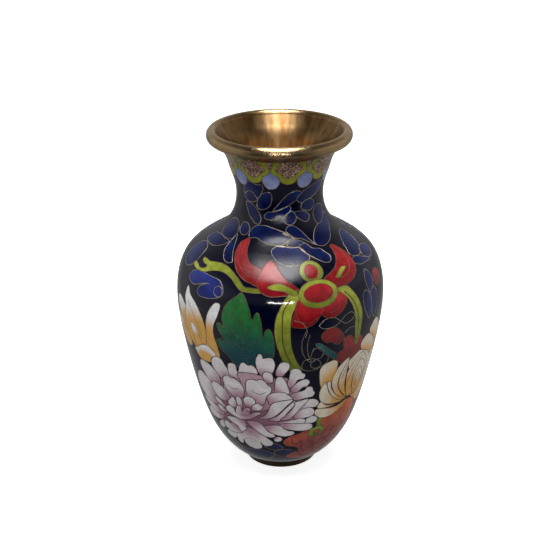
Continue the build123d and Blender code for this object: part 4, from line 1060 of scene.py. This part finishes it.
def base_look():
    """Plain dark counter-enamel under the base."""
    look = Look("base_enamel_look")
    patches = look.remap(look.noise(300), 0.3, 0.7, 0.0, 1.0)
    look.feed(Base_Color=look.mix(patches, PAINTS["ground"][0], PAINTS["navy"][1]))
    look.set(Roughness=0.25)
    return look.material


def floor_look():
    """Plain white studio paper that glows a little."""
    look = Look("white_paper")
    grain = look.remap(look.noise(700, 4.0), 0.2, 0.8, 0.0, 1.0)
    look.feed(Base_Color=look.mix(grain, (0.84, 0.84, 0.84), (0.88, 0.88, 0.88)))
    look.set(Roughness=0.9, Specular_IOR_Level=0.2)
    look.set(Emission_Color=(1.0, 1.0, 1.0, 1.0), Emission_Strength=0.80)
    look.bump(grain, 0.00002)
    return look.material


# look: (share of pale specks, share of dark pits, strength of cloudy patches, strength of grain)
ENAMEL_LOOKS = {
    "ground": (0.015, 0.3, 0.3, 0.25),
    "petal": (0.14, 0.30, 0.12, 0.20),
    "plain": (0.08, 0.6, 0.26, 0.34),
    "lime": (0.05, 0.8, 0.30, 0.34),
    "blue": (0.02, 0.4, 0.42, 0.30),
    "spirals": (0.05, 0.6, 0.2, 0.2),
}
ENAMELS = {name: enamel_look(name, *shares) for name, shares in ENAMEL_LOOKS.items()}
# the foot ring's brass is painted nearly black: painted shade for the ring that stands in the shadow under
# the belly, besides its tarnish
SHADED_FOOT_BRASS = metal_look("shaded_foot_brass_look", (0.12, 0.07, 0.035), (0.03, 0.018, 0.012), 0.35, 0.55, 0.8)
COPPER = metal_look("copper_look", (0.66, 0.42, 0.20), (0.20, 0.10, 0.05), 0.2, 0.4, 0.5)
# the brown and dark looks are darkened copies of the same wire: painted shade standing in for wires that
# mirror a dark room
WIRES = {
    "gilt": wire_look("gilt", (0.62, 0.52, 0.38), (0.32, 0.27, 0.21), 0.5),
    "bronze": wire_look("bronze", (0.42, 0.25, 0.12), (0.14, 0.08, 0.05), 0.6),
    "brown": wire_look("brown", (0.22, 0.13, 0.075), (0.07, 0.04, 0.025), 0.6, 0.5),
    "dark": wire_look("dark", (0.050, 0.026, 0.028), (0.016, 0.009, 0.011), 0.6, 0.15),
}

# ------------------------------------------------------------------ the pieces
GLAZES = [
    # glaze, look, record slot
    ("peony", "petal", "peony_mauve"),
    ("chrysanthemum", "petal", "chrysanthemum_ochre"),
    ("lily", "petal", "lily_yellow"),
    ("green_leaf", "plain", "leaf_green"),
    ("red_ribbon", "plain", "ribbon_red"),
    ("lime_ribbon", "lime", "ribbon_lime"),
    ("berry", "plain", "berry_red"),
    ("orange_flower", "plain", "flower_orange"),
    ("blue_leaf", "blue", "leaf_blue"),
    ("navy_leaf", "blue", "leaf_navy"),
    ("scallop", "plain", "scallop_lavender"),
    ("lappet_band", "lime", "lappet_lime"),
    ("lappet_heart", "spirals", "lappet_brown"),
]
for glaze, look, slot_name in GLAZES:
    owners = {index for index, cell in enumerate(cells) if cell.glaze == glaze}
    glaze_piece(glaze + "_glaze", owners, ENAMELS[look], [glaze + "_enamel"])
glaze_piece("ground_glaze", {-1}, ENAMELS["ground"], ["ground_enamel"])
# the flowers and ribbons get the darkened wire copies as painted shade
WIRE_LOOKS = {
    "peony": "dark", "chrysanthemum": "brown", "lily": "brown", "orange_flower": "dark", "ribbon": "brown",
    "berry": "bronze", "green_leaf": "bronze", "lappet": "bronze", "blue_leaf": "gilt", "navy_leaf": "gilt",
    "scallop": "gilt",
}
for wires, look in WIRE_LOOKS.items():
    wire_piece(wires + "_wirework", wire_runs[wires], WIRES[look], [wires + "_wires"])


def paint_node(node, material):
    """Better material on a CAD node that is kept."""
    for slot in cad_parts[node].material_slots:
        slot.link = "OBJECT"
        slot.material = material


paint_node("mouth_rim", rim_look())
paint_node("foot_ring", SHADED_FOOT_BRASS)
for node in ("neck_shell", "upper_shell", "lower_shell", "base_disc"):
    paint_node(node, COPPER)
paint_node("base_enamel", base_look())

# ------------------------------------------------------------------ floor, light and camera
FLOOR_RADIUS = 2.6
BACKDROP_CURVE = 0.5
BACKDROP_HIGH = 2.5
BACKDROP_SIDES = 96
CURVE_STEPS = 10


def floor_and_backdrop():
    """Paper that lies flat round the vase and curves up all round into a plain backdrop."""
    section = [(FLOOR_RADIUS, 0.0)]
    for step in range(1, CURVE_STEPS + 1):
        bend = math.pi / 2 * step / CURVE_STEPS
        radius = FLOOR_RADIUS + BACKDROP_CURVE * math.sin(bend)
        section.append((radius, BACKDROP_CURVE * (1 - math.cos(bend))))
    section.append((FLOOR_RADIUS + BACKDROP_CURVE, BACKDROP_HIGH))
    points = []
    for radius, height in section:
        for side in range(BACKDROP_SIDES):
            turn = math.tau * side / BACKDROP_SIDES
            points.append((radius * math.cos(turn), radius * math.sin(turn), height))
    faces = [tuple(range(BACKDROP_SIDES))]
    for ring in range(len(section) - 1):
        first = ring * BACKDROP_SIDES
        for side in range(BACKDROP_SIDES):
            here = first + side
            beside = first + (side + 1) % BACKDROP_SIDES
            faces.append((beside, here, here + BACKDROP_SIDES, beside + BACKDROP_SIDES))
    return points, faces


floor_points, floor_faces = floor_and_backdrop()
floor = smooth_object("floor", floor_points, floor_faces, floor_look())
floor.visible_glossy = False        # the enamel mirrors the dim room of the world, not the white paper
floor.visible_diffuse = False       # the low fills stand for the light the paper throws back
floor.visible_shadow = False        # the room's light comes through the backdrop

SHOULDER = (0, -0.03, 0.10)
LOW_FILLS = 4
LOW_FILL_AWAY = 1.2
LOW_FILL_HIGH = 0.16


def area_light(name, shape, place, target, size, radiance, mirrored):
    """Softbox aimed at a point; it either shows in reflections or lights the vase, so both can be set."""
    light = bpy.data.lights.new(name, "AREA")
    light.shape = shape
    light.size, light.size_y = size
    share = math.pi / 4 if shape == "ELLIPSE" else 1.0
    light.energy = radiance * math.pi * size[0] * size[1] * share
    box = bpy.data.objects.new(name, light)
    box.location = place
    box.rotation_euler = (Vector(target) - Vector(place)).to_track_quat("-Z", "Y").to_euler()
    box.visible_glossy = mirrored
    box.visible_diffuse = not mirrored
    bpy.context.scene.collection.objects.link(box)


area_light("window_panel", "ELLIPSE", (0.0, -0.17, 1.10), (0, -0.17, 0), (0.62, 0.96), 8.8, True)
area_light("low_strip", "RECTANGLE", (0.01, -1.0, 0.255), SHOULDER, (0.50, 0.024), 44.0, True)
area_light("key_fill", "RECTANGLE", (-0.02, -0.29, 1.05), SHOULDER, (0.50, 0.34), 8.0, False)
area_light("ceiling_fill", "RECTANGLE", (0.0, 0.1, 1.5), SHOULDER, (1.4, 1.4), 2.2, False)
for corner in range(LOW_FILLS):
    turn = math.tau * (corner + 0.5) / LOW_FILLS
    place = (LOW_FILL_AWAY * math.cos(turn), LOW_FILL_AWAY * math.sin(turn), LOW_FILL_HIGH)
    area_light(f"low_fill_{corner}", "RECTANGLE", place, SHOULDER, (0.9, 0.5), 3.2, False)

# The room is dim in front and overhead, and brighter at the sides, behind, below and at eye level
studio = bpy.data.worlds.new("studio")
studio.use_nodes = True
room = Nodes(studio.node_tree, "Generated")
right, back, above = room.axes()
# (direction, where the part of the room's brightness begins, where it is full, how bright it is)
ROOM_PARTS = [
    (right, -0.60, -0.98, 0.32),
    (right, 0.60, 0.98, 0.28),
    (back, 0.1, 0.9, 0.26),
    (above, -0.30, -0.62, 0.13),
    (above, 0.0, 0.15, 0.14),
    (above, 0.25, 0.50, -0.11),
]
brightness = 0.0
for direction, begins, full, part in ROOM_PARTS:
    ramp = room.remap(direction, begins, full, 0.0, part, interpolation_type="SMOOTHSTEP")
    brightness = room.add(ramp, brightness)
background = room.tree.nodes["Background"]
room.tree.links.new(brightness, background.inputs["Strength"])
background.inputs["Color"].default_value = (1.0, 0.99, 0.97, 1.0)
bpy.context.scene.world = studio
bpy.context.scene.view_settings.view_transform = "Standard"

CAMERA_LEFT = 0.0001
CAMERA_BACK = 0.5227
CAMERA_HIGH = 0.3062
CAMERA_DOWN = math.radians(23.04)
CAMERA_ROLL = math.radians(-0.33)
CAMERA_LENS = 84.7
CAMERA_SENSOR = 36.0
camera_data = bpy.data.cameras.new("camera")
camera_data.lens = CAMERA_LENS
camera_data.sensor_width = CAMERA_SENSOR
camera = bpy.data.objects.new("camera", camera_data)
camera.location = (-CAMERA_LEFT, -CAMERA_BACK, CAMERA_HIGH)
aim = Matrix.Rotation(math.pi / 2 - CAMERA_DOWN, 3, "X") @ Matrix.Rotation(CAMERA_ROLL, 3, "Z")
camera.rotation_euler = aim.to_euler()
bpy.context.scene.collection.objects.link(camera)
bpy.context.scene.camera = camera
